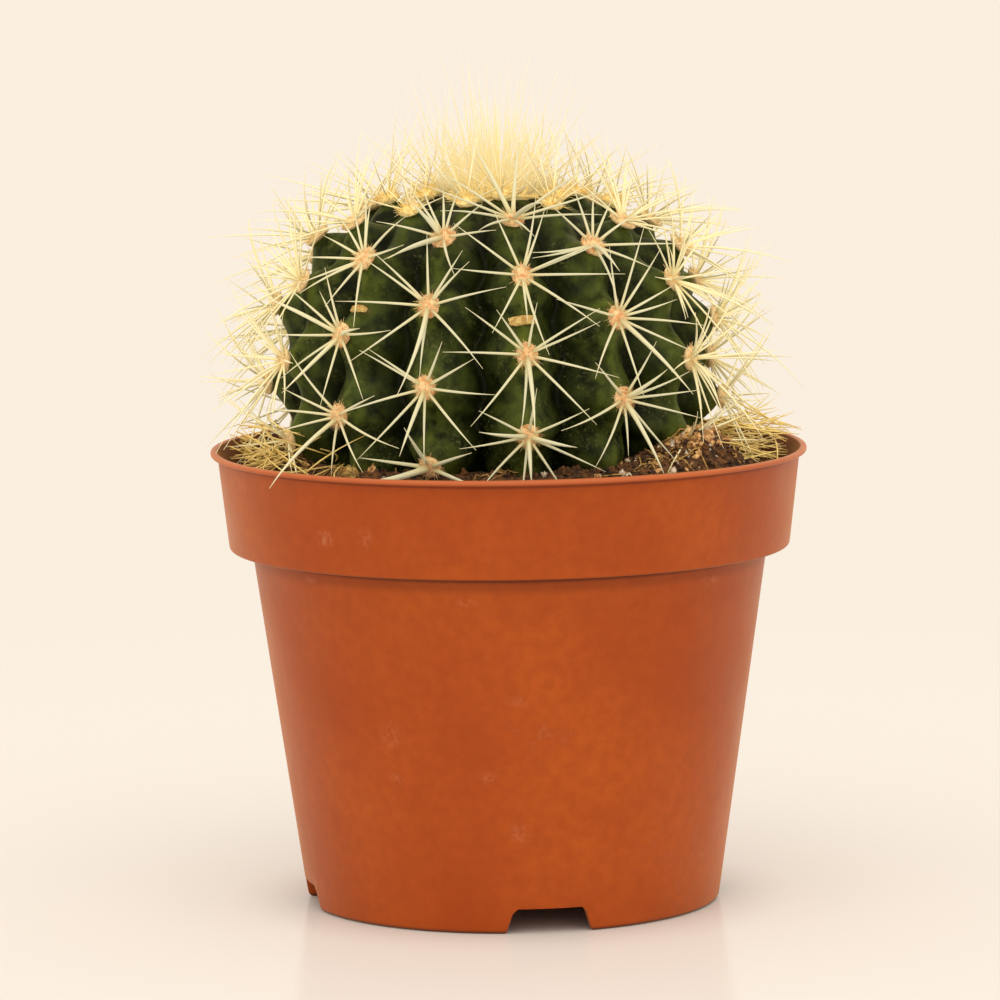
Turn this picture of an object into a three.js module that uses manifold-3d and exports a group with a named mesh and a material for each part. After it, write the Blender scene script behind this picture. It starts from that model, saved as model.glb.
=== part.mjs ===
// A round, ribbed cactus growing in a plastic nursery pot, in millimetres, +Z up.
// The origin is the middle of the pot's foot. The front of the plant faces -Y.
//
// The pot, the soil and the ribbed stem are lathed profiles. The plant has fifteen
// ribs, and each rib carries a row of areoles: woolly cushions with a star of spines.
// Every needle is turned aside until it clears its neighbours, the stem, the soil
// and the pot.

import * as THREE from 'three';
import { mergeVertices } from 'three/addons/utils/BufferGeometryUtils.js';
import Module from 'manifold-3d';

const wasm = await Module();
wasm.setup();

// ---------------------------------------------------------------- dimensions

const GAP = 0.3; // air left between pieces that touch
const TOLERANCE = 0.06; // joined shapes drop edges that matter less than this

const POT = {
  segments: 48,
  height: 91.8,
  lipRadius: 60,
  collarTopRadius: 58.6,
  collarBottomRadius: 56.4,
  stepHeight: 72,
  bodyTopRadius: 51.9,
  footRadius: 41.6,
  footInnerRadius: 39,
  wall: 1.2,
  baseUnderside: 5.2,
  baseTop: 6.6,
  ledgeTop: 73.2,
};

const NOTCH = {
  count: 4,
  azimuth: 9.7, // degrees from the front towards +X
  height: 5.1,
  topWidth: 14.2,
  bottomWidth: 17.3,
};

const DRAIN = { radius: 3.6, ringRadius: 31, middleRadius: 4 };

const STEM = {
  centreX: -2.5, // the plant stands a little to the left of the pot's middle
  radius: 44.6, // at the rib crests
  equator: 102.5,
  crownRise: 40,
  crownExponent: 2.8,
  baseDrop: 27,
  baseExponent: 2.2,
  bottom: 78,
  grooveDepth: 9.5,
  crestSwell: 0.5,
};

const RIB = {
  count: 15,
  columns: 4, // stem columns from one crest to the next
  firstAzimuth: 8,
  frontSpread: 3.5, // degrees by which the front ribs fan apart
};

const AREOLE = {
  pitch: 15.7, // along the crest
  firstArc: 58.6, // from the crown, on the front rib
  ribStep: -0.4, // share of a pitch from one rib to the next
  rows: 4,
  lowestArc: 81,
  width: 4.3,
  height: 4.9,
  thickness: 2.4,
};

const SPINE = {
  radius: 0.55,
  inset: 0.45, // how far a needle's root is drawn in from the edges of its face
  tipRadius: 0.08,
  reach: 61.4, // no tip lies farther than this from the pot's axis, along X or Y
  clearance: 0.34,
  lift: 17, // usual angle off the skin
  shortest: 8,
  longest: 23,
};

const SOIL = {
  bottom: 6.9,
  level: 85.2,
  bank: 5, // how far the soil is heaped up against the stem
  bankFade: 6,
  columns: 48,
};

// Local heaps on the soil: centre, radius and height.
const HEAPS = [
  { x: 43, y: -19, radius: 9, height: 6.5 },
  { x: 30, y: -41, radius: 8, height: 1.6 },
  { x: -24, y: -46, radius: 9, height: 1.2 },
];

// ---------------------------------------------------------------- small helpers

const radians = THREE.MathUtils.degToRad;
const { clamp, lerp, smoothstep } = THREE.MathUtils;

/** Repeatable random numbers from 0 to 1. */
function randomSource(seed) {
  let state = seed >>> 0;
  return () => {
    state = (state + 0x6d2b79f5) >>> 0;
    let t = state;
    t = Math.imul(t ^ (t >>> 15), t | 1);
    t ^= t + Math.imul(t ^ (t >>> 7), t | 61);
    return ((t ^ (t >>> 14)) >>> 0) / 4294967296;
  };
}

/** Turns a closed three.js geometry into a manifold solid. */
function solidFrom(geometry) {
  const bare = new THREE.BufferGeometry();
  bare.setAttribute('position', geometry.attributes.position);
  bare.setIndex(geometry.index);
  const merged = mergeVertices(bare, 1e-4);
  const index = merged.index.array;
  const triangles = [];
  for (let i = 0; i < index.length; i += 3) {
    const [a, b, c] = [index[i], index[i + 1], index[i + 2]];
    if (a !== b && b !== c && c !== a) {
      triangles.push(a, b, c);
    }
  }
  const solid = new wasm.Manifold(new wasm.Mesh({
    numProp: 3,
    vertProperties: new Float32Array(merged.attributes.position.array),
    triVerts: new Uint32Array(triangles),
  }));
  return solid;
}

/** Turns a manifold solid back into a three.js geometry. */
function geometryFrom(solid) {
  const mesh = solid.getMesh();
  const geometry = new THREE.BufferGeometry();
  const position = new Float32Array(mesh.vertProperties);
  geometry.setAttribute('position', new THREE.BufferAttribute(position, 3));
  geometry.setIndex(new THREE.BufferAttribute(new Uint32Array(mesh.triVerts), 1));
  geometry.computeVertexNormals();
  return geometry;
}

/** Joins solids into one. */
function join(solids) {
  return solids.reduce((whole, next) => whole.add(next)).simplify(TOLERANCE);
}

/** A named mesh with its own material. */
function piece(name, geometry, color, roughness) {
  const material = new THREE.MeshStandardMaterial({ color, roughness, metalness: 0 });
  const mesh = new THREE.Mesh(geometry, material);
  mesh.name = name;
  return mesh;
}

/** A lathe of [radius, height] pairs about the Z axis. */
function latheZ(profile, segments) {
  const points = profile.map(([radius, height]) => new THREE.Vector2(radius, height));
  return new THREE.LatheGeometry(points, segments).rotateX(Math.PI / 2);
}

// ---------------------------------------------------------------- pot

/** Outer radius of the tapered body of the pot at a height below the collar. */
function potBodyRadius(z) {
  return lerp(POT.footRadius, POT.bodyTopRadius, z / POT.stepHeight);
}

/** Inner radius of the pot at a height above its base plate. */
function potInnerRadius(z) {
  if (z < POT.ledgeTop) {
    return potBodyRadius(z) - POT.wall;
  }
  const share = (z - POT.ledgeTop) / (POT.height - POT.ledgeTop);
  return lerp(POT.collarBottomRadius, POT.collarTopRadius, share) - POT.wall;
}

/** The hollow pot: foot ring, tapered body, stepped collar and rolled lip. */
function potProfile() {
  const lipUnder = POT.height - 1.5;
  return [
    [0, POT.baseUnderside],
    [POT.footInnerRadius - 0.4, POT.baseUnderside],
    [POT.footInnerRadius, 0],
    [POT.footRadius - 0.9, 0],
    [POT.footRadius - 0.2, 0.4],
    [potBodyRadius(1.4), 1.4],
    [POT.bodyTopRadius, POT.stepHeight],
    [POT.collarBottomRadius - 0.5, POT.stepHeight],
    [POT.collarBottomRadius, POT.stepHeight + 0.6],
    [POT.collarTopRadius, lipUnder],
    [POT.lipRadius - 0.3, lipUnder + 0.1],
    [POT.lipRadius, lipUnder + 0.5],
    [POT.lipRadius, POT.height - 0.5],
    [POT.lipRadius - 0.5, POT.height],
    [POT.collarTopRadius - 0.4, POT.height],
    [potInnerRadius(POT.height - 0.6), POT.height - 0.6],
    [potInnerRadius(POT.ledgeTop), POT.ledgeTop],
    [POT.bodyTopRadius - POT.wall, POT.ledgeTop],
    [potInnerRadius(POT.baseTop + 1.2), POT.baseTop + 1.2],
    [potInnerRadius(POT.baseTop) - 1.2, POT.baseTop],
    [0, POT.baseTop],
  ];
}

/** A wedge that cuts one drainage notch through the foot ring at the front. */
function notchCutter() {
  const shape = new THREE.Shape();
  const lean = (NOTCH.bottomWidth - NOTCH.topWidth) / 2 / NOTCH.height;
  shape.moveTo(-NOTCH.bottomWidth / 2 - lean, -1);
  shape.lineTo(NOTCH.bottomWidth / 2 + lean, -1);
  shape.lineTo(NOTCH.topWidth / 2 + lean, NOTCH.height - 1);
  shape.lineTo(NOTCH.topWidth / 2 - 0.6, NOTCH.height);
  shape.lineTo(0.6 - NOTCH.topWidth / 2, NOTCH.height);
  shape.lineTo(-NOTCH.topWidth / 2 - lean, NOTCH.height - 1);
  shape.closePath();
  const cutter = new THREE.ExtrudeGeometry(shape, { depth: 16, bevelEnabled: false });
  return cutter.rotateX(Math.PI / 2).translate(0, 16 - 46, 0);
}

/** An upright cutter for a drain hole through the base plate. */
function drainCutter(radius) {
  return new THREE.CylinderGeometry(radius, radius, 6, 12).rotateX(Math.PI / 2).translate(0, 0, POT.baseTop - 0.5);
}

function makePot() {
  let solid = solidFrom(latheZ(potProfile(), POT.segments));
  for (let i = 0; i < NOTCH.count; i += 1) {
    const azimuth = radians(NOTCH.azimuth + (i * 360) / NOTCH.count);
    const notch = notchCutter().rotateZ(azimuth);
    const drain = drainCutter(DRAIN.radius).translate(0, -DRAIN.ringRadius, 0).rotateZ(azimuth);
    solid = solid.subtract(solidFrom(notch)).subtract(solidFrom(drain));
  }
  solid = solid.subtract(solidFrom(drainCutter(DRAIN.middleRadius)));
  return piece('pot', geometryFrom(solid), 0xac4e23, 0.42);
}

// ---------------------------------------------------------------- stem

/** Points of the crest line from the crown down, with arc length and outward normal. */
function crestTable() {
  const rows = [];
  const steps = 400;
  const lowest = Math.asin((STEM.equator - STEM.bottom) / STEM.baseDrop);
  for (let i = 0; i <= steps; i += 1) {
    const turn = lerp(0, Math.PI / 2 + lowest * 1.0, i / steps);
    const above = turn <= Math.PI / 2;
    const exponent = above ? STEM.crownExponent : STEM.baseExponent;
    const rise = above ? STEM.crownRise : -STEM.baseDrop;
    const r = STEM.radius * Math.abs(Math.sin(turn)) ** (2 / exponent);
    const z = STEM.equator + rise * Math.abs(Math.cos(turn)) ** (2 / exponent);
    rows.push({ r, z, arc: 0 });
  }
  for (let i = 1; i < rows.length; i += 1) {
    rows[i].arc = rows[i - 1].arc + Math.hypot(rows[i].r - rows[i - 1].r, rows[i].z - rows[i - 1].z);
  }
  return rows;
}

const CREST = crestTable();
const CREST_LENGTH = CREST[CREST.length - 1].arc;

/** The point of the crest line at an arc length from the crown, and its normal. */
function crestAt(arc) {
  const wanted = clamp(arc, 0, CREST_LENGTH);
  let i = 1;
  while (i < CREST.length - 1 && CREST[i].arc < wanted) {
    i += 1;
  }
  const [a, b] = [CREST[i - 1], CREST[i]];
  const share = (wanted - a.arc) / (b.arc - a.arc);
  const length = Math.hypot(b.r - a.r, b.z - a.z);
  return {
    r: lerp(a.r, b.r, share),
    z: lerp(a.z, b.z, share),
    normalR: -(b.z - a.z) / length,
    normalZ: (b.r - a.r) / length,
  };
}

/** Azimuth in radians, from the front towards +X, of a rib or of a point between ribs. */
function ribAzimuth(rib) {
  const turn = (rib * 360) / RIB.count;
  return radians(RIB.firstAzimuth + turn + RIB.frontSpread * Math.sin(radians(turn)));
}

/** Arc length of a rib's areole in a row: row 0 is the one nearest the crown. */
function areoleArc(rib, row) {
  const start = AREOLE.firstArc - 3 * AREOLE.pitch;
  const share = THREE.MathUtils.euclideanModulo(AREOLE.ribStep * rib + 1e-6, 1);
  return start + (share + row) * AREOLE.pitch;
}

/** How far the stem's skin lies below the smooth crest surface. */
function skinDepth(rib, arc) {
  const nearest = Math.round(rib);
  const away = Math.abs(rib - nearest) * 2;
  const open = smoothstep(arc, 3, 48);
  const buried = 1 - 0.5 * smoothstep(arc, 84, CREST_LENGTH);
  const groove = STEM.grooveDepth * open * buried * away ** 1.35;
  const beat = Math.cos((2 * Math.PI * (arc - areoleArc(nearest, 0))) / AREOLE.pitch);
  const swell = STEM.crestSwell * smoothstep(arc, 6, 20) * (1 - away) ** 2 * beat;
  return groove - swell;
}

/** The ribbed stem as a lathe whose columns sink into the grooves. */
function stemGeometry(grow) {
  const arcs = [0, 4, 8.5, 13];
  while (arcs[arcs.length - 1] < CREST_LENGTH - 6) {
    arcs.push(arcs[arcs.length - 1] + AREOLE.pitch / 3);
  }
  arcs.push(CREST_LENGTH);
  arcs.reverse();
  const profile = [[0, STEM.bottom - grow]];
  for (const arc of arcs) {
    const at = crestAt(arc);
    profile.push([at.r, at.z]);
  }
  const columns = RIB.count * RIB.columns;
  const geometry = latheZ(profile, columns);
  const position = geometry.attributes.position;
  for (let i = 0; i <= columns; i += 1) {
    const rib = (i % columns) / RIB.columns;
    const azimuth = ribAzimuth(rib);
    for (let j = 1; j < profile.length; j += 1) {
      const arc = arcs[j - 1];
      const at = crestAt(arc);
      const sink = arc === 0 ? -grow : skinDepth(rib, arc) - grow;
      const r = arc === 0 ? 0 : at.r - sink * at.normalR;
      const z = Math.max(at.z - sink * at.normalZ, STEM.bottom - grow);
      position.setXYZ(i * profile.length + j, r * Math.sin(azimuth), -r * Math.cos(azimuth), z);
    }
  }
  return geometry;
}

// ---------------------------------------------------------------- soil

/** Height of the soil's surface. */
function soilHeight(x, y) {
  const fromStem = Math.max(Math.hypot(x - STEM.centreX, y) - 41, 0);
  let z = SOIL.level + SOIL.bank * Math.exp(-fromStem / SOIL.bankFade);
  z += 0.45 * Math.sin(0.31 * x + 1.3) * Math.sin(0.27 * y + 0.4) + 0.3 * Math.sin(0.62 * x - 0.55 * y);
  for (const heap of HEAPS) {
    const away = Math.hypot(x - heap.x, y - heap.y) / heap.radius;
    z += heap.height * Math.exp(-away * away);
  }
  return z;
}

function makeSoil(stemRoom) {
  const wallRadius = (z) => potInnerRadius(z) - GAP;
  const edge = wallRadius(SOIL.level);
  const topRings = [edge, edge - 4, edge - 8, edge - 12, edge - 17, edge - 26];
  const profile = [
    [0, SOIL.bottom],
    [wallRadius(POT.baseTop) - 1.2, SOIL.bottom],
    [wallRadius(POT.baseTop + 1.5), POT.baseTop + 1.5],
    [POT.bodyTopRadius - POT.wall - GAP, POT.ledgeTop + GAP],
    [wallRadius(POT.ledgeTop + GAP), POT.ledgeTop + GAP],
    ...topRings.map((radius) => [radius, SOIL.level]),
    [0, SOIL.level],
  ];
  const firstTop = profile.length - topRings.length - 1;
  const geometry = latheZ(profile, SOIL.columns);
  const position = geometry.attributes.position;
  for (let i = 0; i < position.count; i += 1) {
    if (i % profile.length >= firstTop) {
      position.setZ(i, soilHeight(position.getX(i), position.getY(i)));
    }
  }
  const solid = solidFrom(geometry).subtract(stemRoom);
  return piece('soil', geometryFrom(solid), 0x4a2f20, 0.95);
}

// ---------------------------------------------------------------- spines

/** Closest distance between two segments, with the shares along each of them. */
function closestBetween(a, b) {
  const d1 = a.end.clone().sub(a.start);
  const d2 = b.end.clone().sub(b.start);
  const r = a.start.clone().sub(b.start);
  const [aa, ee, ff] = [d1.dot(d1), d2.dot(d2), d2.dot(r)];
  const [bb, cc] = [d1.dot(d2), d1.dot(r)];
  const denominator = aa * ee - bb * bb;
  let s = denominator > 1e-9 ? clamp((bb * ff - cc * ee) / denominator, 0, 1) : 0;
  let t = (bb * s + ff) / ee;
  if (t < 0 || t > 1) {
    t = clamp(t, 0, 1);
    s = clamp((bb * t - cc) / aa, 0, 1);
  }
  const gap = r.clone().addScaledVector(d1, s).addScaledVector(d2, -t).length();
  return { gap, s, t };
}

/** Radius of a needle, or of a straw of even thickness, at a share of its length. */
function needleRadius(needle, share) {
  return lerp(SPINE.radius, needle.tipRadius, share);
}

/** Everything that is already placed, for keeping new needles clear of it. */
const placed = { needles: [], pads: [] };

/** Whether a point of a needle is clear of the stem, the soil, the pot and the limits. */
function pointIsClear(point, radius, near) {
  const room = radius + SPINE.clearance;
  if (Math.max(Math.abs(point.x), Math.abs(point.y)) > SPINE.reach) {
    return false;
  }
  const fromAxis = Math.hypot(point.x, point.y);
  if (point.z < POT.height + room && fromAxis > POT.collarTopRadius - POT.wall - 0.8 - room) {
    return false;
  }
  if (point.z - 1.2 * room < soilHeight(point.x, point.y) + 0.25) {
    return false;
  }
  if (near) {
    return true;
  }
  const r = Math.hypot(point.x - STEM.centreX, point.y);
  const above = point.z >= STEM.equator;
  const exponent = above ? STEM.crownExponent : STEM.baseExponent;
  const rise = above ? STEM.crownRise : STEM.baseDrop;
  const share = ((r / STEM.radius) ** exponent + (Math.abs(point.z - STEM.equator) / rise) ** exponent) ** (1 / exponent);
  return (share - 1) * 40 > room + STEM.crestSwell;
}

/** Whether a needle clears its surroundings and every needle and pad of other clusters. */
function needleIsClear(needle) {
  for (let i = 1; i <= 8; i += 1) {
    const share = i / 8;
    const point = needle.start.clone().lerp(needle.end, share);
    if (!pointIsClear(point, needleRadius(needle, share), i < 3)) {
      return false;
    }
  }
  for (const other of placed.needles) {
    const { gap, s, t } = closestBetween(needle, other);
    const sister = other.owner === needle.owner;
    const room = sister ? 0.1 : SPINE.clearance;
    const atRoots = sister && s < 0.12 && t < 0.12;
    if (!atRoots && gap < needleRadius(needle, s) + needleRadius(other, t) + room) {
      return false;
    }
  }
  for (const pad of placed.pads) {
    if (pad.owner !== needle.owner) {
      const along = needle.end.clone().sub(needle.start);
      const share = clamp(pad.centre.clone().sub(needle.start).dot(along) / along.lengthSq(), 0, 1);
      const gap = needle.start.clone().addScaledVector(along, share).distanceTo(pad.centre);
      if (gap < pad.radius + needleRadius(needle, share) + SPINE.clearance) {
        return false;
      }
    }
  }
  return true;
}

/** Unit direction in an areole's own frame: turn from its right-hand side, lift off the skin. */
function spineDirection(turn, lift) {
  const [t, l] = [radians(turn), radians(lift)];
  return new THREE.Vector3(Math.cos(l) * Math.cos(t), Math.cos(l) * Math.sin(t), Math.sin(l));
}

/** Turns, lifts and shortens that are tried in order until a needle is clear. */
function spineTries() {
  const tries = [];
  for (const share of [1, 0.85, 0.7, 0.55]) {
    for (const lift of [0, 6, 12, -5, 18, 25, 33, 42]) {
      for (const turn of [0, 5, -5, 10, -10, 16, -16]) {
        tries.push({ share, lift, turn, cost: (1 - share) * 90 + Math.abs(lift) + Math.abs(turn) * 0.8 });
      }
    }
  }
  return tries.sort((a, b) => a.cost - b.cost);
}

const TRIES = spineTries();

/** Finds a clear place for one needle of a cluster and remembers it. */
function placeNeedle(owner, toWorld, root, wanted) {
  for (const attempt of TRIES) {
    const direction = spineDirection(wanted.turn + attempt.turn, wanted.lift + attempt.lift);
    const tip = root.clone().addScaledVector(direction, wanted.length * attempt.share);
    const needle = {
      owner,
      tipRadius: SPINE.tipRadius,
      start: root.clone().applyMatrix4(toWorld),
      end: tip.clone().applyMatrix4(toWorld),
    };
    if (needleIsClear(needle)) {
      placed.needles.push(needle);
      return tip;
    }
  }
  return null;
}

/** A slender pyramid from a root to a tip. */
function needleSolid(root, tip) {
  const along = tip.clone().sub(root);
  const geometry = new THREE.ConeGeometry(SPINE.radius, along.length(), 3);
  geometry.translate(0, along.length() / 2, 0);
  const turn = new THREE.Quaternion().setFromUnitVectors(new THREE.Vector3(0, 1, 0), along.normalize());
  geometry.applyQuaternion(turn).translate(root.x, root.y, root.z);
  return solidFrom(geometry);
}

/** The faces of a twenty-sided cushion, with their corners, middle and azimuth in degrees. */
function cushionFaces(width, height, thickness) {
  const tilt = Math.atan2(2, 1 + Math.sqrt(5));
  const shape = new THREE.IcosahedronGeometry(0.5, 0).rotateX(tilt).rotateZ(Math.PI / 2);
  const position = shape.attributes.position;
  const faces = [];
  for (let i = 0; i < position.count; i += 3) {
    const corners = [0, 1, 2].map((k) => new THREE.Vector3().fromBufferAttribute(position, i + k));
    const middle = corners[0].clone().add(corners[1]).add(corners[2]).divideScalar(3);
    const side = Math.abs(middle.z) < 0.15;
    const azimuth = THREE.MathUtils.radToDeg(Math.atan2(middle.y, middle.x));
    const stretch = new THREE.Vector3(width, height, thickness);
    corners.forEach((corner) => corner.multiply(stretch));
    middle.multiply(stretch);
    faces.push({ corners, middle, azimuth, side, upper: !side && middle.z > 0 });
  }
  return faces;
}

/** The free face, of the wanted kind where one is left, that looks closest to a direction. */
function faceTowards(faces, kind, turn) {
  const offset = (face) => Math.abs(((face.azimuth - turn + 540) % 360) - 180);
  const open = faces.filter((face) => !face.tip && (face.side || face.upper));
  const wanted = open.filter((face) => face[kind]);
  const free = wanted.length > 0 ? wanted : open;
  return free.reduce((best, face) => (offset(face) < offset(best) ? face : best));
}

/** The closed skin of a cushion, with a slender three-sided needle on each face that has a tip. */
function cushionGeometry(faces) {
  const corners = [];
  for (const { corners: [a, b, c], middle, tip } of faces) {
    if (!tip) {
      corners.push(a, b, c);
      continue;
    }
    const [d, e, f] = [a, b, c].map((corner) => corner.clone().lerp(middle, SPINE.inset));
    corners.push(a, b, e, a, e, d, b, c, f, b, f, e, c, a, d, c, d, f);
    corners.push(d, e, tip, e, f, tip, f, d, tip);
  }
  return new THREE.BufferGeometry().setFromPoints(corners);
}

// The star of one full-grown areole: ten radial spines and one long central spine.
const STAR = [
  { kind: 'upper', turn: -78, lift: 36, length: 20.5 },
  { kind: 'side', turn: -122, lift: 17, length: 18.5 },
  { kind: 'side', turn: -88, lift: 14, length: 17 },
  { kind: 'side', turn: -40, lift: 16, length: 19.5 },
  { kind: 'side', turn: -5, lift: 18, length: 19 },
  { kind: 'side', turn: 31, lift: 23, length: 18 },
  { kind: 'side', turn: 78, lift: 34, length: 15.5 },
  { kind: 'side', turn: 112, lift: 32, length: 16 },
  { kind: 'side', turn: 145, lift: 22, length: 17.5 },
  { kind: 'side', turn: 180, lift: 18, length: 18.5 },
  { kind: 'side', turn: -152, lift: 18, length: 17.5 },
];

// The stars that face the front, each spine as it looks from there: its angle from the
// right-hand side, its span across the view in mm and, for a spine that stands out, its lift.
const FRONT_ELEVATION = 7;
const FRONT_STARS = {
  areole_01_2: [
    [-73, 16.7, 40], [144, 14.9], [120, 11.9], [80, 13.7], [74, 12], [31, 15.5], [25, 14],
    [-2, 19], [-33, 17.7], [-78, 9], [-111, 13], [174, 13.3],
  ],
  areole_01_3: [
    [-85, 14.3, 42], [143, 13.5], [118, 9], [80, 8.5], [31, 14.9], [26, 14], [-13, 16.7],
    [-44, 17.5], [-95, 13.7], [-128, 16.3], [178, 15],
  ],
  areole_01_4: [
    [-86, 8, 36], [153, 9.5], [171, 9, 30], [-171, 12.2], [-133, 13], [-98, 9.7], [-55, 11.5],
    [-23, 14.7], [-8, 8.5, 30], [19, 11.5], [82, 8],
  ],
  areole_02_1: [
    [-59, 7.4, 40], [112, 10], [88, 9], [69, 8.3], [37, 10], [0, 15.7], [-23, 10.3],
    [-73, 12], [-166, 12], [-158, 11], [137, 9.5],
  ],
  areole_02_2: [
    [-48, 19.7, 34], [106, 11.6], [65, 16.7], [60, 14], [33, 11], [23, 10.6], [-1, 16],
    [-21, 15.2], [-71, 15.7], [-109, 12.9], [169, 11.6],
  ],
  areole_02_3: [
    [-64, 15.6, 34], [130, 8], [60, 11], [37, 8.5, 30], [21, 12], [7, 13.2], [-12, 14],
    [-49, 14.8], [-88, 9.5], [-114, 13.4], [-160, 13],
  ],
  areole_14_1: [
    [-122, 12.2, 36], [40, 10], [87, 9.5], [97, 9], [112, 8.5], [140, 8], [174, 11.2],
    [-162, 12.9], [-152, 14], [-100, 14.5], [8, 8],
  ],
  areole_14_2: [
    [-133, 14.5, 38], [179, 12.6], [159, 14.3], [136, 12.5], [120, 8], [108, 12.5], [2, 9.5],
    [-69, 12.8], [-106, 13], [-144, 12.8],
  ],
  areole_14_3: [
    [-133, 19.2, 34], [126, 13.9], [154, 10.5], [174, 14.6], [-169, 12.2], [-97, 9.8],
    [-64, 11.1], [-29, 13.3], [21, 8],
  ],
  areole_15_1: [
    [-150, 11, 38], [127, 10.5], [116, 9], [90, 8.5], [78, 8], [43, 8.5], [8, 10],
    [172, 11.5], [-157, 11.3], [149, 8.5], [-73, 8],
  ],
  areole_15_2: [
    [-107, 18, 36], [144, 14.5], [139, 13.7], [97, 12.1], [58, 11], [50, 10.7], [15, 14.9],
    [176, 16.5], [-144, 17.3], [-98, 12.9], [-45, 16.1],
  ],
  areole_15_3: [
    [-113, 13, 42], [150, 13], [144, 12], [33, 10], [-7, 12.5], [66, 8], [-167, 16],
    [-133, 17.5], [-92, 13.6], [-51, 14.3],
  ],
  areole_15_4: [
    [-172, 15.1, 30], [172, 12.3], [-166, 13], [-145, 8], [-23, 9.5], [19, 8], [118, 8],
    [-80, 8],
  ],
};

/** Turn, lift and length of the straight line between two points of an areole's own frame. */
function courseBetween(root, tip) {
  const along = tip.clone().sub(root);
  const length = along.length();
  return {
    turn: THREE.MathUtils.radToDeg(Math.atan2(along.y, along.x)),
    lift: THREE.MathUtils.radToDeg(Math.asin(along.z / length)),
    length,
  };
}

/** The tip, in an areole's own frame, of a spine that is known by how it looks from the front. */
function tipSeenFromFront(toWorld, [angle, span, lift = SPINE.lift]) {
  const [e, a] = [radians(FRONT_ELEVATION), radians(angle)];
  const upward = new THREE.Vector3(0, Math.sin(e), Math.cos(e));
  const nearer = new THREE.Vector3(0, -Math.cos(e), Math.sin(e));
  const outward = new THREE.Vector3().setFromMatrixColumn(toWorld, 2);
  const across = new THREE.Vector3(span * Math.cos(a), 0, 0).addScaledVector(upward, span * Math.sin(a));
  let best = { error: Infinity };
  for (let depth = -16; depth <= 20; depth += 0.5) {
    const offset = across.clone().addScaledVector(nearer, depth);
    const length = offset.length();
    const off = THREE.MathUtils.radToDeg(Math.asin(offset.dot(outward) / length)) - lift;
    const misfit = Math.max(length - SPINE.longest, SPINE.shortest - length, 0);
    const error = Math.abs(off) + 8 * misfit;
    if (error < best.error) {
      best = { error, offset };
    }
  }
  const turnBack = toWorld.clone().setPosition(0, 0, 0).invert();
  const tip = best.offset.applyMatrix4(turnBack);
  tip.z += AREOLE.thickness / 2;
  return tip;
}

/** A star of spines from how the spines look from the front. */
function frontStar(toWorld, seen) {
  const middle = new THREE.Vector3(0, 0, AREOLE.thickness / 2);
  return seen.map((spine) => {
    const course = courseBetween(middle, tipSeenFromFront(toWorld, spine));
    return { kind: spine.length > 2 ? 'upper' : 'side', ...course };
  });
}

/** A star with small differences of its own. */
function variedStar(star, random) {
  return star.map(({ kind, turn, lift, length }) => ({
    kind,
    turn: turn + 9 * (random() - 0.5),
    lift: lift + 8 * (random() - 0.5),
    length: length * (0.93 + 0.14 * random()),
  }));
}

/** A cluster's geometry in its own frame: +Z out of the skin, +Y towards the crown. */
function clusterGeometry(owner, toWorld, size, star) {
  const faces = cushionFaces(AREOLE.width * size, AREOLE.height * size, AREOLE.thickness);
  for (const spine of star) {
    const face = faceTowards(faces, spine.kind, spine.turn);
    const root = face.middle.clone();
    root.z += AREOLE.thickness / 2;
    face.tip = placeNeedle(owner, toWorld, root, spine);
    if (face.tip) {
      face.tip.z -= AREOLE.thickness / 2;
    }
  }
  return cushionGeometry(faces).translate(0, 0, AREOLE.thickness / 2);
}

/** A frame on the crest of a rib: its place and tilt inside the rib's own group. */
function placeOnCrest(object, arc) {
  const at = crestAt(arc);
  const lift = GAP + STEM.crestSwell;
  object.position.set(0, -(at.r + lift * at.normalR), at.z + lift * at.normalZ);
  object.rotation.x = Math.atan2(at.normalR, at.normalZ);
}

// ---------------------------------------------------------------- crown

const CROWN = {
  padRadius: 11,
  padThickness: 3.4,
  tuft: 26,
  tuftLength: 24,
  strip: 1.7,
};

// The shorter star of a young areole, standing nearly upright.
const YOUNG_STAR = [
  { kind: 'side', turn: -100, lift: 38, length: 19 },
  { kind: 'side', turn: -40, lift: 34, length: 19 },
  { kind: 'side', turn: 8, lift: 36, length: 18.5 },
  { kind: 'upper', turn: 80, lift: 62, length: 20 },
  { kind: 'side', turn: 110, lift: 46, length: 19 },
  { kind: 'side', turn: 178, lift: 36, length: 18.5 },
  { kind: 'side', turn: -145, lift: 34, length: 19 },
];

/** Remembers a pad so that other clusters' needles stay clear of it. */
function rememberPad(owner, toWorld, size) {
  const centre = new THREE.Vector3(0, 0, AREOLE.thickness / 2).applyMatrix4(toWorld);
  placed.pads.push({ owner, centre, radius: (AREOLE.height * size) / 2 });
}

/** A strip of wool along a crest, joining a young areole to the crown's felt. */
function woolStrip(fromArc, toArc) {
  const a = crestAt(fromArc);
  const b = crestAt(toArc);
  const lift = GAP + STEM.crestSwell + CROWN.strip * 0.75;
  const start = new THREE.Vector3(0, -(a.r + lift * a.normalR), a.z + lift * a.normalZ);
  const end = new THREE.Vector3(0, -(b.r + lift * b.normalR), b.z + lift * b.normalZ);
  const along = end.clone().sub(start);
  const strip = new THREE.BoxGeometry(CROWN.strip * 1.2, along.length() + 1, CROWN.strip);
  strip.translate(0, along.length() / 2, 0);
  strip.applyQuaternion(new THREE.Quaternion().setFromUnitVectors(new THREE.Vector3(0, 1, 0), along.normalize()));
  return strip.translate(start.x, start.y, start.z);
}

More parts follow.
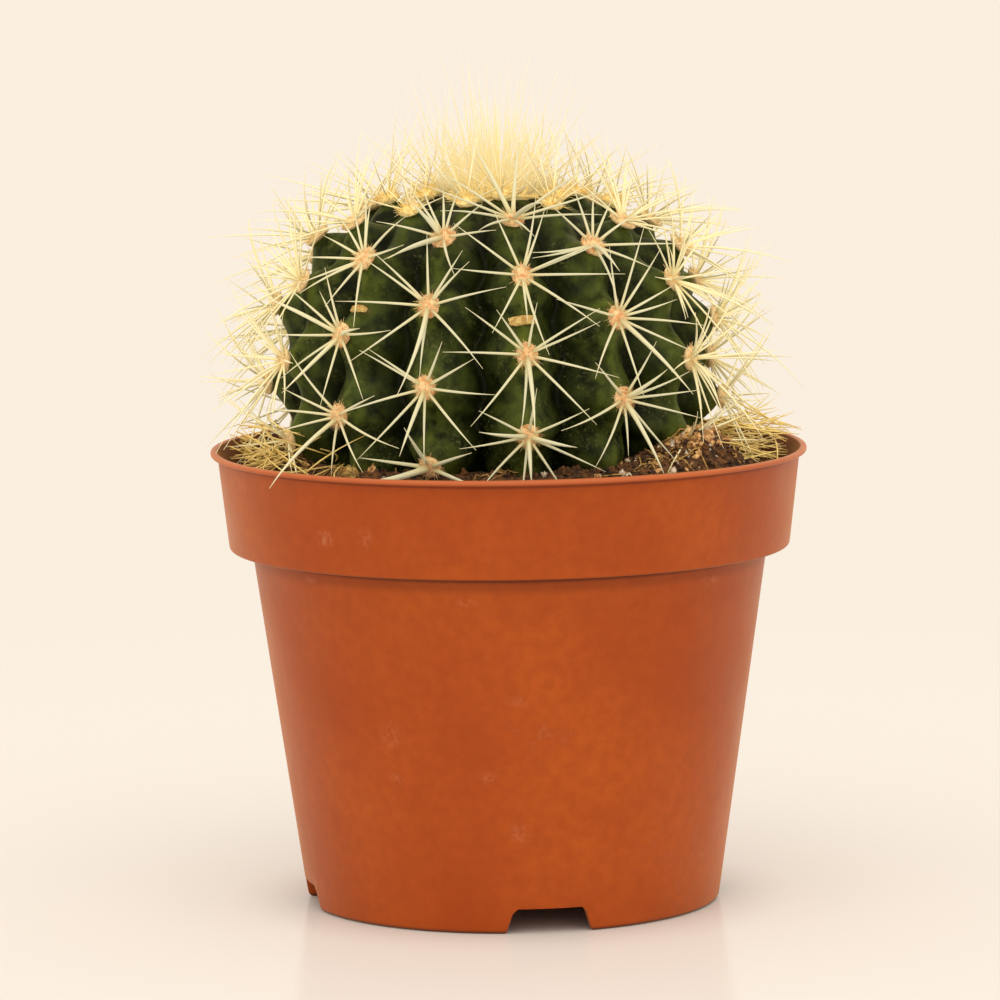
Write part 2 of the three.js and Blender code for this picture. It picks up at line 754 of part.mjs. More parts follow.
/** The felt on the growing point with its tuft, and the ring of young areoles round it. */
function makeCrown(plant, random) {
  const top = STEM.equator + STEM.crownRise;
  const solids = [];
  const dome = latheZ([
    [0, 0],
    [CROWN.padRadius * 0.95, 0],
    [CROWN.padRadius, 0.6],
    [CROWN.padRadius * 0.75, CROWN.padThickness * 0.75],
    [CROWN.padRadius * 0.35, CROWN.padThickness],
    [0, CROWN.padThickness],
  ], 15);
  dome.translate(0, 0, top + GAP);
  solids.push(solidFrom(dome));

  const root = new THREE.Vector3(0, 0, top + GAP);
  const golden = Math.PI * (3 - Math.sqrt(5));
  for (let i = 0; i < CROWN.tuft; i += 1) {
    const share = Math.sqrt((i + 0.5) / CROWN.tuft);
    const azimuth = i * golden;
    const foot = new THREE.Vector3(Math.cos(azimuth), Math.sin(azimuth), 0)
      .multiplyScalar(share * CROWN.padRadius * 0.75).add(root);
    foot.z += 0.6;
    const lean = spineDirection(THREE.MathUtils.radToDeg(azimuth) + 30 * (random() - 0.5), 88 - 26 * share);
    const tip = foot.clone().addScaledVector(lean, CROWN.tuftLength * (0.82 + 0.25 * random()));
    placed.needles.push({
      owner: 'crown',
      tipRadius: SPINE.tipRadius,
      start: foot.clone().applyMatrix4(plant.matrixWorld),
      end: tip.clone().applyMatrix4(plant.matrixWorld),
    });
    solids.push(needleSolid(foot, tip));
  }

  for (let rib = 0; rib < RIB.count; rib += 1) {
    const arc = areoleArc(rib, 0);
    const turned = new THREE.Group();
    turned.rotation.z = ribAzimuth(rib);
    const holder = new THREE.Group();
    placeOnCrest(holder, arc);
    turned.add(holder);
    plant.add(turned);
    plant.updateMatrixWorld(true);
    const inPlant = plant.matrixWorld.clone().invert().multiply(holder.matrixWorld);
    const cluster = clusterGeometry('crown', holder.matrixWorld, 1, variedStar(YOUNG_STAR, random));
    solids.push(solidFrom(cluster.applyMatrix4(inPlant)));
    solids.push(solidFrom(woolStrip(CROWN.padRadius - 3, arc).applyMatrix4(turned.matrix)));
    rememberPad('crown', holder.matrixWorld, 1);
    plant.remove(turned);
  }
  return piece('crown', geometryFrom(join(solids)), 0xf0d282, 0.7);
}

// ---------------------------------------------------------------- dry straws

// Bundles of fallen, dried spines lying on the soil, one at each side of the stem.
const STRAWS = [
  { name: 'dry_spines_left', azimuth: -78, radius: 51, length: 20, fan: 1.2, sink: 0.1, count: 5, seed: 5 },
  { name: 'dry_spines_right', azimuth: 84, radius: 50, length: 22, fan: 1.3, sink: 0.9, count: 5, seed: 9 },
];

/** A tangle of straws that all cross near its middle, lying just above the soil. */
function makeStraws(bundle) {
  const random = randomSource(bundle.seed);
  const azimuth = radians(bundle.azimuth);
  const middle = new THREE.Vector3(bundle.radius * Math.sin(azimuth), -bundle.radius * Math.cos(azimuth), 0);
  const straws = [];
  let top = 0;
  for (let i = 0; i < bundle.count; i += 1) {
    const turn = azimuth + Math.PI / 2 + bundle.fan * (i / (bundle.count - 1) - 0.5);
    const slope = 0.1 * (random() - 0.5);
    const along = new THREE.Vector3(Math.sin(turn), -Math.cos(turn), slope);
    const reach = (bundle.length / 2) * (0.8 + 0.25 * random());
    const shift = 0.2 * bundle.length * (random() - 0.5);
    const start = along.clone().multiplyScalar(shift - reach).add(middle);
    const end = along.clone().multiplyScalar(shift + reach).add(middle);
    for (const share of [0, 0.25, 0.5, 0.75, 1]) {
      const point = start.clone().lerp(end, share);
      top = Math.max(top, soilHeight(point.x, point.y) - point.z);
    }
    straws.push({ owner: bundle.name, tipRadius: SPINE.radius, start, end });
  }
  const solids = [];
  for (const straw of straws) {
    straw.start.z += top + GAP + SPINE.radius + 0.25 - bundle.sink;
    straw.end.z += top + GAP + SPINE.radius + 0.25 - bundle.sink;
    placed.needles.push(straw);
    const along = straw.end.clone().sub(straw.start);
    const stick = new THREE.CylinderGeometry(SPINE.radius * 0.7, SPINE.radius, along.length(), 4);
    stick.translate(0, along.length() / 2, 0);
    const turn = new THREE.Quaternion().setFromUnitVectors(new THREE.Vector3(0, 1, 0), along.normalize());
    solids.push(solidFrom(stick.applyQuaternion(turn).translate(straw.start.x, straw.start.y, straw.start.z)));
  }
  return piece(bundle.name, geometryFrom(join(solids)), 0xc7a75c, 0.8);
}

// ---------------------------------------------------------------- assembly

const cactus = new THREE.Group();
const plant = new THREE.Group();
plant.position.x = STEM.centreX;
cactus.add(plant);
cactus.updateMatrixWorld(true);

const stemRoom = solidFrom(stemGeometry(2 * GAP)).translate([STEM.centreX, 0, 0]);
cactus.add(makePot(), makeSoil(stemRoom));
plant.add(piece('stem', geometryFrom(solidFrom(stemGeometry(0))), 0x2c3d24, 0.5));

for (const bundle of STRAWS) {
  cactus.add(makeStraws(bundle));
}

/** Whether the soil reaches an areole's cushion. */
function isBuried(mesh) {
  mesh.updateWorldMatrix(true, false);
  const centre = new THREE.Vector3().setFromMatrixPosition(mesh.matrixWorld);
  return soilHeight(centre.x, centre.y) > centre.z - AREOLE.height / 2 - 0.6;
}

const random = randomSource(41);
const areoles = [];
for (let rib = 0; rib < RIB.count; rib += 1) {
  const turned = new THREE.Group();
  turned.rotation.z = ribAzimuth(rib);
  plant.add(turned);
  for (let row = 1; row <= AREOLE.rows; row += 1) {
    const arc = areoleArc(rib, row);
    if (arc > AREOLE.lowestArc) {
      continue;
    }
    const label = String(rib + 1).padStart(2, '0');
    const mesh = piece(`areole_${label}_${row}`, undefined, 0xe8d9a4, 0.6);
    placeOnCrest(mesh, arc);
    turned.add(mesh);
    if (isBuried(mesh)) {
      turned.remove(mesh);
      continue;
    }
    const size = row === 1 ? 1 : 0.88;
    areoles.push({ mesh, row, size });
  }
}
cactus.updateMatrixWorld(true);
for (const { mesh, size } of areoles) {
  rememberPad(mesh.name, mesh.matrixWorld, size);
}
plant.add(makeCrown(plant, random));
areoles.sort((a, b) => a.row - b.row);
for (const { mesh, size } of areoles) {
  const seen = FRONT_STARS[mesh.name];
  const star = seen ? frontStar(mesh.matrixWorld, seen) : variedStar(STAR, random);
  const cluster = clusterGeometry(mesh.name, mesh.matrixWorld, size, star);
  mesh.geometry = geometryFrom(solidFrom(cluster));
}

export default cactus;
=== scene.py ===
"""A potted round cactus: the visible model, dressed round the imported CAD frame.

Lengths inside the classes are millimetres, as on a drawing, and every mesh is
scaled to metres as it is built. The front of the plant faces -Y and +Z is up.
"""

import logging
import math
from dataclasses import dataclass, field, replace
from enum import Enum, IntEnum
from typing import Sequence

import bpy
import numpy as np
from mathutils import Matrix, Vector, noise


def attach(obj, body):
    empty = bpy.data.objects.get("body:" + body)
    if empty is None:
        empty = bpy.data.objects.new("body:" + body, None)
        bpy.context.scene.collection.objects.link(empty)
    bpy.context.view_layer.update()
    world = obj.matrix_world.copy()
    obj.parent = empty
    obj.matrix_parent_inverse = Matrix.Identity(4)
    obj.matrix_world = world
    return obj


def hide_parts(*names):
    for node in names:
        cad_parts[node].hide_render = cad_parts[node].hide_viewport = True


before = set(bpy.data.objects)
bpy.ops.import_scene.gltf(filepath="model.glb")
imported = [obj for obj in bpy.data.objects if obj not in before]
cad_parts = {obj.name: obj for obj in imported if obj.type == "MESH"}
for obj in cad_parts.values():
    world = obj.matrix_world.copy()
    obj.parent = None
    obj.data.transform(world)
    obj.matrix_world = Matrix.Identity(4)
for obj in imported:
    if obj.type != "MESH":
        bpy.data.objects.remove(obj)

MM = 0.001
BODY = "root"
LOG = logging.getLogger("potted_cactus")
Rgb = tuple[float, float, float]
Array = np.ndarray
Rng = np.random.Generator
Faces = list[Sequence[int]]
Material = bpy.types.Material
Piece = bpy.types.Object
Socket = bpy.types.NodeSocket


def srgb(red: int, green: int, blue: int) -> Rgb:
    """The linear values of a display colour whose parts go from 0 to 255."""
    shares = [level / 255 for level in (red, green, blue)]
    return tuple(s / 12.92 if s <= 0.04045 else ((s + 0.055) / 1.055) ** 2.4 for s in shares)


def smoothstep(value: Array | float, low: float, high: float) -> Array:
    """Eases from 0 where the value is low to 1 where it is high."""
    share = np.clip((np.asarray(value, float) - low) / (high - low), 0, 1)
    return share * share * (3 - 2 * share)


def field_noise(points: Array, size: float, seed: float = 0.0) -> Array:
    """Smooth noise from about -1 to 1 at each point, its lumps of a size in the points' own unit."""
    return np.array([noise.noise(Vector(point)) for point in points / size + seed])


def unit(way: Array) -> Array:
    """A direction scaled to length 1."""
    return way / np.linalg.norm(way)


def around(r: Array | float, azimuth: Array, z: Array | float) -> Array:
    """Points at azimuths from the front towards +X, at radii r and heights z."""
    return np.stack(np.broadcast_arrays(r * np.sin(azimuth), -r * np.cos(azimuth), z), -1)


def transform(matrix: Matrix, points: Array) -> Array:
    """Moves points, one row each, by a matrix."""
    whole = np.array(matrix)
    return points @ whole[:3, :3].T + whole[:3, 3]


# ------------------------------------------------------------------ mesh making


class MeshBuilder:
    """Gathers vertices, faces and point values and turns them into one mesh object."""

    def __init__(self) -> None:
        """Starts empty."""
        self.points: list[Array] = []
        self.faces: Faces = []
        self.materials: list[int] = []
        self.values: dict[str, list[Array]] = {}
        self.count = 0

    def add(self, points: Array, faces: Faces, material: int = 0, **values: Array | float) -> None:
        """Adds one patch.

        Args:
            points: positions in millimetres, one row each.
            faces: vertex numbers of each face within this patch.
            material: index of the material slot.
            **values: point values by name, one number or one for each point.
        """
        self.points.append(points)
        self.faces.extend([[corner + self.count for corner in face] for face in faces])
        self.materials.extend([material] * len(faces))
        for name in sorted(set(self.values) | set(values)):
            given = np.broadcast_to(np.asarray(values.get(name, 0.0), float), (len(points),))
            self.values.setdefault(name, [np.zeros(self.count)]).append(given)
        self.count += len(points)

    def add_tube(self, path: Array, radii: Array, sides: int, material: int = 0) -> None:
        """Adds a tube, drawn as by tube(), that knows the share of its length at each point."""
        share = np.repeat(np.linspace(0, 1, len(path)), sides)
        self.add(*tube(path, radii, sides), material, along=share)

    def build(self, name: str, materials: Sequence[Material], smooth: bool = True) -> Piece:
        """Makes the object.

        Args:
            name: the piece's name.
            materials: its material slots in order.
            smooth: whether its faces are shaded as one rounded skin.

        Returns:
            The mesh object, linked to the scene.
        """
        mesh = bpy.data.meshes.new(name)
        mesh.from_pydata((np.concatenate(self.points) * MM).tolist(), [], self.faces)
        mesh.polygons.foreach_set("material_index", self.materials)
        mesh.polygons.foreach_set("use_smooth", [smooth] * len(self.faces))
        for value_name, patches in self.values.items():
            layer = mesh.attributes.new(value_name, "FLOAT", "POINT")
            layer.data.foreach_set("value", np.concatenate(patches).astype(np.float32))
        for material in materials:
            mesh.materials.append(material)
        mesh.update()
        piece = bpy.data.objects.new(name, mesh)
        bpy.context.scene.collection.objects.link(piece)
        return piece


def place(piece: Piece, slot: str, *nodes: str) -> Piece:
    """Hides the CAD nodes that a piece stands for and attaches the piece to its body.

    Args:
        piece: the piece.
        slot: the material slot's name; not used.
        *nodes: the CAD nodes, or none where it only adds to them.

    Returns:
        The piece.
    """
    if nodes:
        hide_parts(*nodes)
    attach(piece, BODY)
    return piece


def ring_faces(rows: int, columns: int) -> Faces:
    """Quads between rings of points, stored ring by ring.

    Args:
        rows: number of rings.
        columns: number of points in a ring.

    Returns:
        The quads.
    """
    faces = []
    for row in range(rows - 1):
        for column in range(columns):
            a, b = row * columns + column, row * columns + (column + 1) % columns
            faces.append((a, b, b + columns, a + columns))
    return faces


def closed_faces(rows: int, columns: int, turned: bool = False) -> Faces:
    """Quads between rings, closed by a fan round one further point at each end.

    Args:
        rows: number of rings.
        columns: number of points in a ring.
        turned: whether the faces look the other way.

    Returns:
        The faces; the first ring's end point and the last ring's follow the rings' points.
    """
    end, last = rows * columns, (rows - 1) * columns
    faces = [face[::-1] if turned else face for face in ring_faces(rows, columns)]
    for column in range(columns):
        beside = (column + 1) % columns
        for a, b, c in ((end, beside, column), (end + 1, last + column, last + beside)):
            faces.append((a, c, b) if turned else (a, b, c))
    return faces


def tube(path: Array, radii: Array, sides: int) -> tuple[Array, Faces]:
    """A closed round tube along a path.

    Args:
        path: centre points, one row each.
        radii: radius at each centre point.
        sides: sides of the tube.

    Returns:
        Points and faces.
    """
    steps = len(path)
    along = np.gradient(path, axis=0)
    along /= np.linalg.norm(along, axis=1, keepdims=True)
    helper = np.array([0.0, 0.0, 1.0]) if abs(along[0][2]) < 0.9 else np.array([1.0, 0.0, 0.0])
    across = np.cross(along, helper)
    across /= np.linalg.norm(across, axis=1, keepdims=True)
    upward = np.cross(across, along)
    angles = np.arange(sides) * 2 * math.pi / sides
    ring = np.cos(angles)[None, :, None] * across[:, None, :]
    ring = ring + np.sin(angles)[None, :, None] * upward[:, None, :]
    points = (path[:, None, :] + ring * radii[:, None, None]).reshape(-1, 3)
    faces = ring_faces(steps, sides)
    faces.append(tuple(range(sides))[::-1])
    faces.append(tuple((steps - 1) * sides + side for side in range(sides)))
    return points, faces


def bowed_path(start: Array, end: Array, bow: Array, steps: int) -> Array:
    """A smooth path of so many points from start to end, its middle pushed out by bow."""
    share = np.linspace(0, 1, steps)[:, None]
    return start + (end - start) * share + bow * 4 * share * (1 - share)


def icosphere(levels: int) -> tuple[Array, Faces]:
    """A unit ball of triangles.

    Args:
        levels: how many times the twenty faces are split in four.

    Returns:
        Points and faces.
    """
    golden = (1 + 5**0.5) / 2
    edge_limit = 1.06  # longer than an edge of the unit ball's twenty faces
    points = [(-1, golden, 0), (1, golden, 0), (-1, -golden, 0), (1, -golden, 0)]
    points += [(z, x, y) for x, y, z in points] + [(y, z, x) for x, y, z in points]
    corners = [np.array(point, float) / math.hypot(1, golden) for point in points]
    faces = []
    for a in range(12):
        for b in range(a + 1, 12):
            for c in range(b + 1, 12):
                trio = [corners[a], corners[b], corners[c]]
                if max(np.linalg.norm(trio[i] - trio[i - 1]) for i in range(3)) < edge_limit:
                    outward = np.dot(np.cross(trio[1] - trio[0], trio[2] - trio[0]), trio[0]) > 0
                    faces.append((a, b, c) if outward else (a, c, b))
    for _ in range(levels):
        middles: dict[tuple[int, int], int] = {}
        finer = []
        for face in faces:
            halves = []
            for i in range(3):
                key = (min(face[i], face[(i + 1) % 3]), max(face[i], face[(i + 1) % 3]))
                if key not in middles:
                    corners.append(unit(corners[key[0]] + corners[key[1]]))
                    middles[key] = len(corners) - 1
                halves.append(middles[key])
            finer += [(face[0], halves[0], halves[2]), (halves[0], face[1], halves[1])]
            finer += [(halves[2], halves[1], face[2]), (halves[0], halves[1], halves[2])]
        faces = finer
    return np.array(corners), faces


# ------------------------------------------------------------------ shader effects


class NodeSheet:
    """Writes the nodes of one tree with short calls."""

    def __init__(self, tree: bpy.types.NodeTree) -> None:
        """Starts on a tree."""
        self.tree = tree

    def join(self, source: Socket | float | Sequence[float], target: Socket) -> None:
        """Links a socket to an input, or sets the input.

        Args:
            source: the socket, number, vector or colour.
            target: the input.
        """
        if isinstance(source, Socket):
            self.tree.links.new(source, target)
        else:
            target.default_value = (*source, 1) if target.type == "RGBA" else source

    def node(self, kind: str, given: dict | None = None, **settings: str | bool) -> bpy.types.Node:
        """Adds a node.

        Args:
            kind: its type, without ShaderNode.
            given: what feeds each of its inputs, by name or number.
            **settings: its own settings.

        Returns:
            The node.
        """
        node = self.tree.nodes.new("ShaderNode" + kind)
        for name, setting in settings.items():
            setattr(node, name, setting)
        for name, source in (given or {}).items():
            self.join(source, node.inputs[name])
        return node

    def math(self, operation: str, *terms: Socket | float, kind: str = "Math") -> Socket:
        """What a Math node's operation, or a VectorMath node's, makes of its terms."""
        node = self.node(kind, dict(enumerate(terms)), operation=operation)
        return next(output for output in node.outputs if output.enabled)

    def noise(self, where: Socket, scale: Socket, detail: float, **more: float) -> Socket:
        """Noise from 0 to 1, its scale in lumps for a metre and its detail in finer layers."""
        given = {"Vector": where, "Scale": scale, "Detail": detail} | more
        return self.node("TexNoise", given).outputs["Fac"]

    def remap(
        self, value: Socket, span: Sequence, ends: Sequence[float] = (0, 1), kind: str = "LINEAR"
    ) -> Socket:
        """Maps one span onto another and holds it at the ends.

        Args:
            value: the number.
            span: its two ends, as numbers or sockets.
            ends: what they become.
            kind: the kind of interpolation.

        Returns:
            The mapped number.
        """
        labels = ("Value", "From Min", "From Max", "To Min", "To Max")
        given = dict(zip(labels, (value, *span, *ends)))
        return self.node("MapRange", given, interpolation_type=kind).outputs["Result"]


class EffectSheet(NodeSheet):
    """One shared effect: a node group with named inputs and one named output."""

    def __init__(self, name: str, inputs: dict[str, float | None], output: str = "Mask") -> None:
        """Starts the group.

        Args:
            name: the group's name.
            inputs: first value of each input after Vector, or None for a vector.
            output: the output's name.
        """
        super().__init__(bpy.data.node_groups.new(name, "ShaderNodeTree"))
        for label, value in {"Vector": None, **inputs}.items():
            kind = "NodeSocketVector" if value is None else "NodeSocketFloat"
            socket = self.tree.interface.new_socket(label, in_out="INPUT", socket_type=kind)
            if value is not None:
                socket.default_value = value
        self.tree.interface.new_socket(output, in_out="OUTPUT", socket_type="NodeSocketFloat")
        self.take = self.tree.nodes.new("NodeGroupInput").outputs

    def give(self, result: Socket) -> bpy.types.NodeTree:
        """Feeds the group's output and hands over the tree."""
        self.tree.links.new(result, self.tree.nodes.new("NodeGroupOutput").inputs[0])
        return self.tree


class Effect(Enum):
    """The shared shader effects, each one node group."""

    MOTTLE = "mottle"
    GRAIN = "fine_grain"
    SCUFF = "scuff_marks"
    SETTLED = "settled_dust"
    SMUDGE = "smudge"
    # a level band of painted shade and painted light
    LINE = "painted_light_band"
    INWARD = "inward_face"


class EffectShelf:
    """Builds each shared effect once, by the method of its name, and hands it out."""

    def __init__(self) -> None:
        """Starts with no group built."""
        self.groups: dict[Effect, bpy.types.NodeTree] = {}

    def group(self, effect: Effect) -> bpy.types.NodeTree:
        """The node group of an effect, built when first asked for.

        Args:
            effect: which effect.

        Returns:
            Its node group.
        """
        if effect not in self.groups:
            self.groups[effect] = getattr(self, "_" + effect.name.lower())()
        return self.groups[effect]

    def _mottle(self) -> bpy.types.NodeTree:
        """Soft cloudy patches: Mask goes from 0 to 1.

        Returns:
            Its node group.
        """
        sheet = EffectSheet("mottle", {"Scale": 50, "Spread": 0.15})
        cloud = sheet.noise(sheet.take["Vector"], sheet.take["Scale"], 4)
        span = [sheet.math(way, 0.5, sheet.take["Spread"]) for way in ("SUBTRACT", "ADD")]
        return sheet.give(sheet.remap(cloud, span))

    def _grain(self) -> bpy.types.NodeTree:
        """Fine surface grain for a bump: Height is about 0 to Amount.

        Returns:
            Its node group.
        """
        sheet = EffectSheet("fine_grain", {"Scale": 1500, "Amount": 1}, "Height")
        fine = sheet.noise(sheet.take["Vector"], sheet.take["Scale"], 3, Roughness=0.6)
        return sheet.give(sheet.math("MULTIPLY", fine, sheet.take["Amount"]))

    def _scuff(self) -> bpy.types.NodeTree:
        """Sparse broken marks: fine streaks that show only inside a few patches.

        Returns:
            Its node group.
        """
        sheet = EffectSheet("scuff_marks", {"Patch Scale": 30, "Mark Scale": 500, "Coverage": 0.3})
        patch = sheet.noise(sheet.take["Vector"], sheet.take["Patch Scale"], 2)
        marks = sheet.noise(sheet.take["Vector"], sheet.take["Mark Scale"], 5, Distortion=0.4)
        above = sheet.math("SUBTRACT", patch, sheet.math("SUBTRACT", 0.9, sheet.take["Coverage"]))
        masks = sheet.remap(above, (0, 0.12)), sheet.remap(marks, (0.55, 0.68))
        return sheet.give(sheet.math("MULTIPLY", *masks))

    def _settled(self) -> bpy.types.NodeTree:
        """Dust that settles on faces that look up, broken by noise.

        Returns:
            Its node group.
        """
        sheet = EffectSheet("settled_dust", {"Scale": 300, "Amount": 0.3})
        normal = sheet.node("NewGeometry").outputs["Normal"]
        facing = sheet.remap(sheet.node("SeparateXYZ", {0: normal}).outputs["Z"], (0.1, 1))
        grains = sheet.noise(sheet.take["Vector"], sheet.take["Scale"], 4)
        broken = sheet.math("MULTIPLY", facing, grains)
        return sheet.give(sheet.math("MULTIPLY", broken, sheet.take["Amount"]))

    def _smudge(self) -> bpy.types.NodeTree:
        """One soft rubbed spot round a centre, broken by fine noise.

        Returns:
            Its node group.
        """
        sheet = EffectSheet("smudge", {"Centre": None, "Size": None, "Break Scale": 600})
        away = sheet.take["Vector"]
        for operation, terms in (("SUBTRACT", ["Centre"]), ("DIVIDE", ["Size"]), ("LENGTH", [])):
            away = sheet.math(operation, away, *(sheet.take[term] for term in terms), kind="VectorMath")
        inside = sheet.remap(away, (0, 1), (1, 0), "SMOOTHSTEP")
        grains = sheet.noise(sheet.take["Vector"], sheet.take["Break Scale"], 4)
        return sheet.give(sheet.math("MULTIPLY", inside, sheet.remap(grains, (0.4, 0.62))))

    def _line(self) -> bpy.types.NodeTree:
        """A level band at one height, fading out within its width, that carries painted shade and painted
        light.

        Returns:
            Its node group.
        """
        sheet = EffectSheet("painted_light_band", {"Height": 0, "Width": 0.001})
        level = sheet.node("SeparateXYZ", {0: sheet.take["Vector"]}).outputs["Z"]
        away = sheet.math("ABSOLUTE", sheet.math("SUBTRACT", level, sheet.take["Height"]))
        return sheet.give(sheet.remap(away, (0, sheet.take["Width"]), (1, 0), "SMOOTHSTEP"))

    def _inward(self) -> bpy.types.NodeTree:
        """Marks the faces that look towards the upright axis, as a pot's inner wall does.

        Returns:
            Its node group.
        """
        sheet = EffectSheet("inward_face", {"Amount": 1})
        normal = sheet.node("NewGeometry").outputs["Normal"]
        level = sheet.math("MULTIPLY", sheet.take["Vector"], (1, 1, 0), kind="VectorMath")
        outward = sheet.math("NORMALIZE", level, kind="VectorMath")
        facing = sheet.math("DOT_PRODUCT", outward, normal, kind="VectorMath")
        mask = sheet.remap(facing, (-0.2, -0.7))
        return sheet.give(sheet.math("MULTIPLY", mask, sheet.take["Amount"]))


class Recipe(NodeSheet):
    """Writes one material's nodes round its Principled shader."""

    def __init__(self, name: str, shelf: EffectShelf) -> None:
        """Starts a material.

        Args:
            name: the material's name.
            shelf: the shared effects.
        """
        self.material = bpy.data.materials.new(name)
        self.material.use_nodes = True
        super().__init__(self.material.node_tree)
        self.shelf = shelf
        self.shader = self.tree.nodes["Principled BSDF"]
        self.place = self.node("TexCoord").outputs["Object"]

    def effect(self, effect: Effect, **values: float | Rgb) -> Socket:
        """Places a shared effect.

        Args:
            effect: which effect.
            **values: its inputs, with _ for a space.

        Returns:
            Its output.
        """
        node = self.tree.nodes.new("ShaderNodeGroup")
        node.node_tree = self.shelf.group(effect)
        self.tree.links.new(self.place, node.inputs["Vector"])
        for label, value in values.items():
            node.inputs[label.replace("_", " ").title()].default_value = value
        return node.outputs[0]

    def mottle(self, scale: float, spread: float) -> Socket:
        """Places soft cloudy patches."""
        return self.effect(Effect.MOTTLE, scale=scale, spread=spread)

    def value(self, name: str) -> Socket:
        """A point value stored on the mesh."""
        return self.node("Attribute", attribute_name=name).outputs["Fac"]

    def clamped(self, operation: str, first: Socket, second: Socket | float) -> Socket:
        """Two numbers joined by a Math node's operation and clamped to 0 to 1."""
        return self.node("Math", {0: first, 1: second}, operation=operation, use_clamp=True).outputs[0]

    def ramp(self, factor: Socket, *stops: tuple[float, Rgb]) -> Socket:
        """Colours a mask.

        Args:
            factor: the mask.
            *stops: share and colour of each stop.

        Returns:
            The colour.
        """
        node = self.node("ValToRGB", {"Fac": factor})
        elements = node.color_ramp.elements
        while len(elements) < len(stops):
            elements.new(0.5)
        for element, (share, colour) in zip(elements, stops):
            element.position = share
            element.color = (*colour, 1)
        return node.outputs["Color"]

    def mix(self, factor: Socket | float, under: Socket | Rgb, over: Socket | Rgb) -> Socket:
        """Lays one colour over another, as much of it as the factor says."""
        return self.node("Mix", {0: factor, 6: under, 7: over}, data_type="RGBA").outputs[2]

    def tint(self, under: Socket, mask: Socket, strength: float, over: Rgb) -> Socket:
        """Lays a colour over another where a mask is, at a strength from 0 to 1."""
        return self.mix(self.clamped("MULTIPLY", mask, strength), under, over)

    def bump(self, height: Socket, depth: float) -> None:
        """Raises the surface by a height map.

        Args:
            height: the map, 0 to 1.
            depth: how high 1 stands, in millimetres.
        """
        node = self.node("Bump", {"Distance": depth * MM, "Height": height})
        previous = self.shader.inputs["Normal"]
        if previous.is_linked:
            self.join(previous.links[0].from_socket, node.inputs["Normal"])
        self.join(node.outputs["Normal"], previous)

    def finish(self, grain: float, depth: float, feeds: dict[str, Socket | float | Rgb]) -> Material:
        """Feeds the shader and adds fine surface grain.

        Args:
            grain: grains in a metre.
            depth: height of the grain in millimetres.
            feeds: what feeds each of the shader's inputs.

        Returns:
            The material.
        """
        for name, source in feeds.items():
            self.join(source, self.shader.inputs[name])
        self.bump(self.effect(Effect.GRAIN, scale=grain, amount=1), depth)
        return self.material


# ------------------------------------------------------------------ finishes


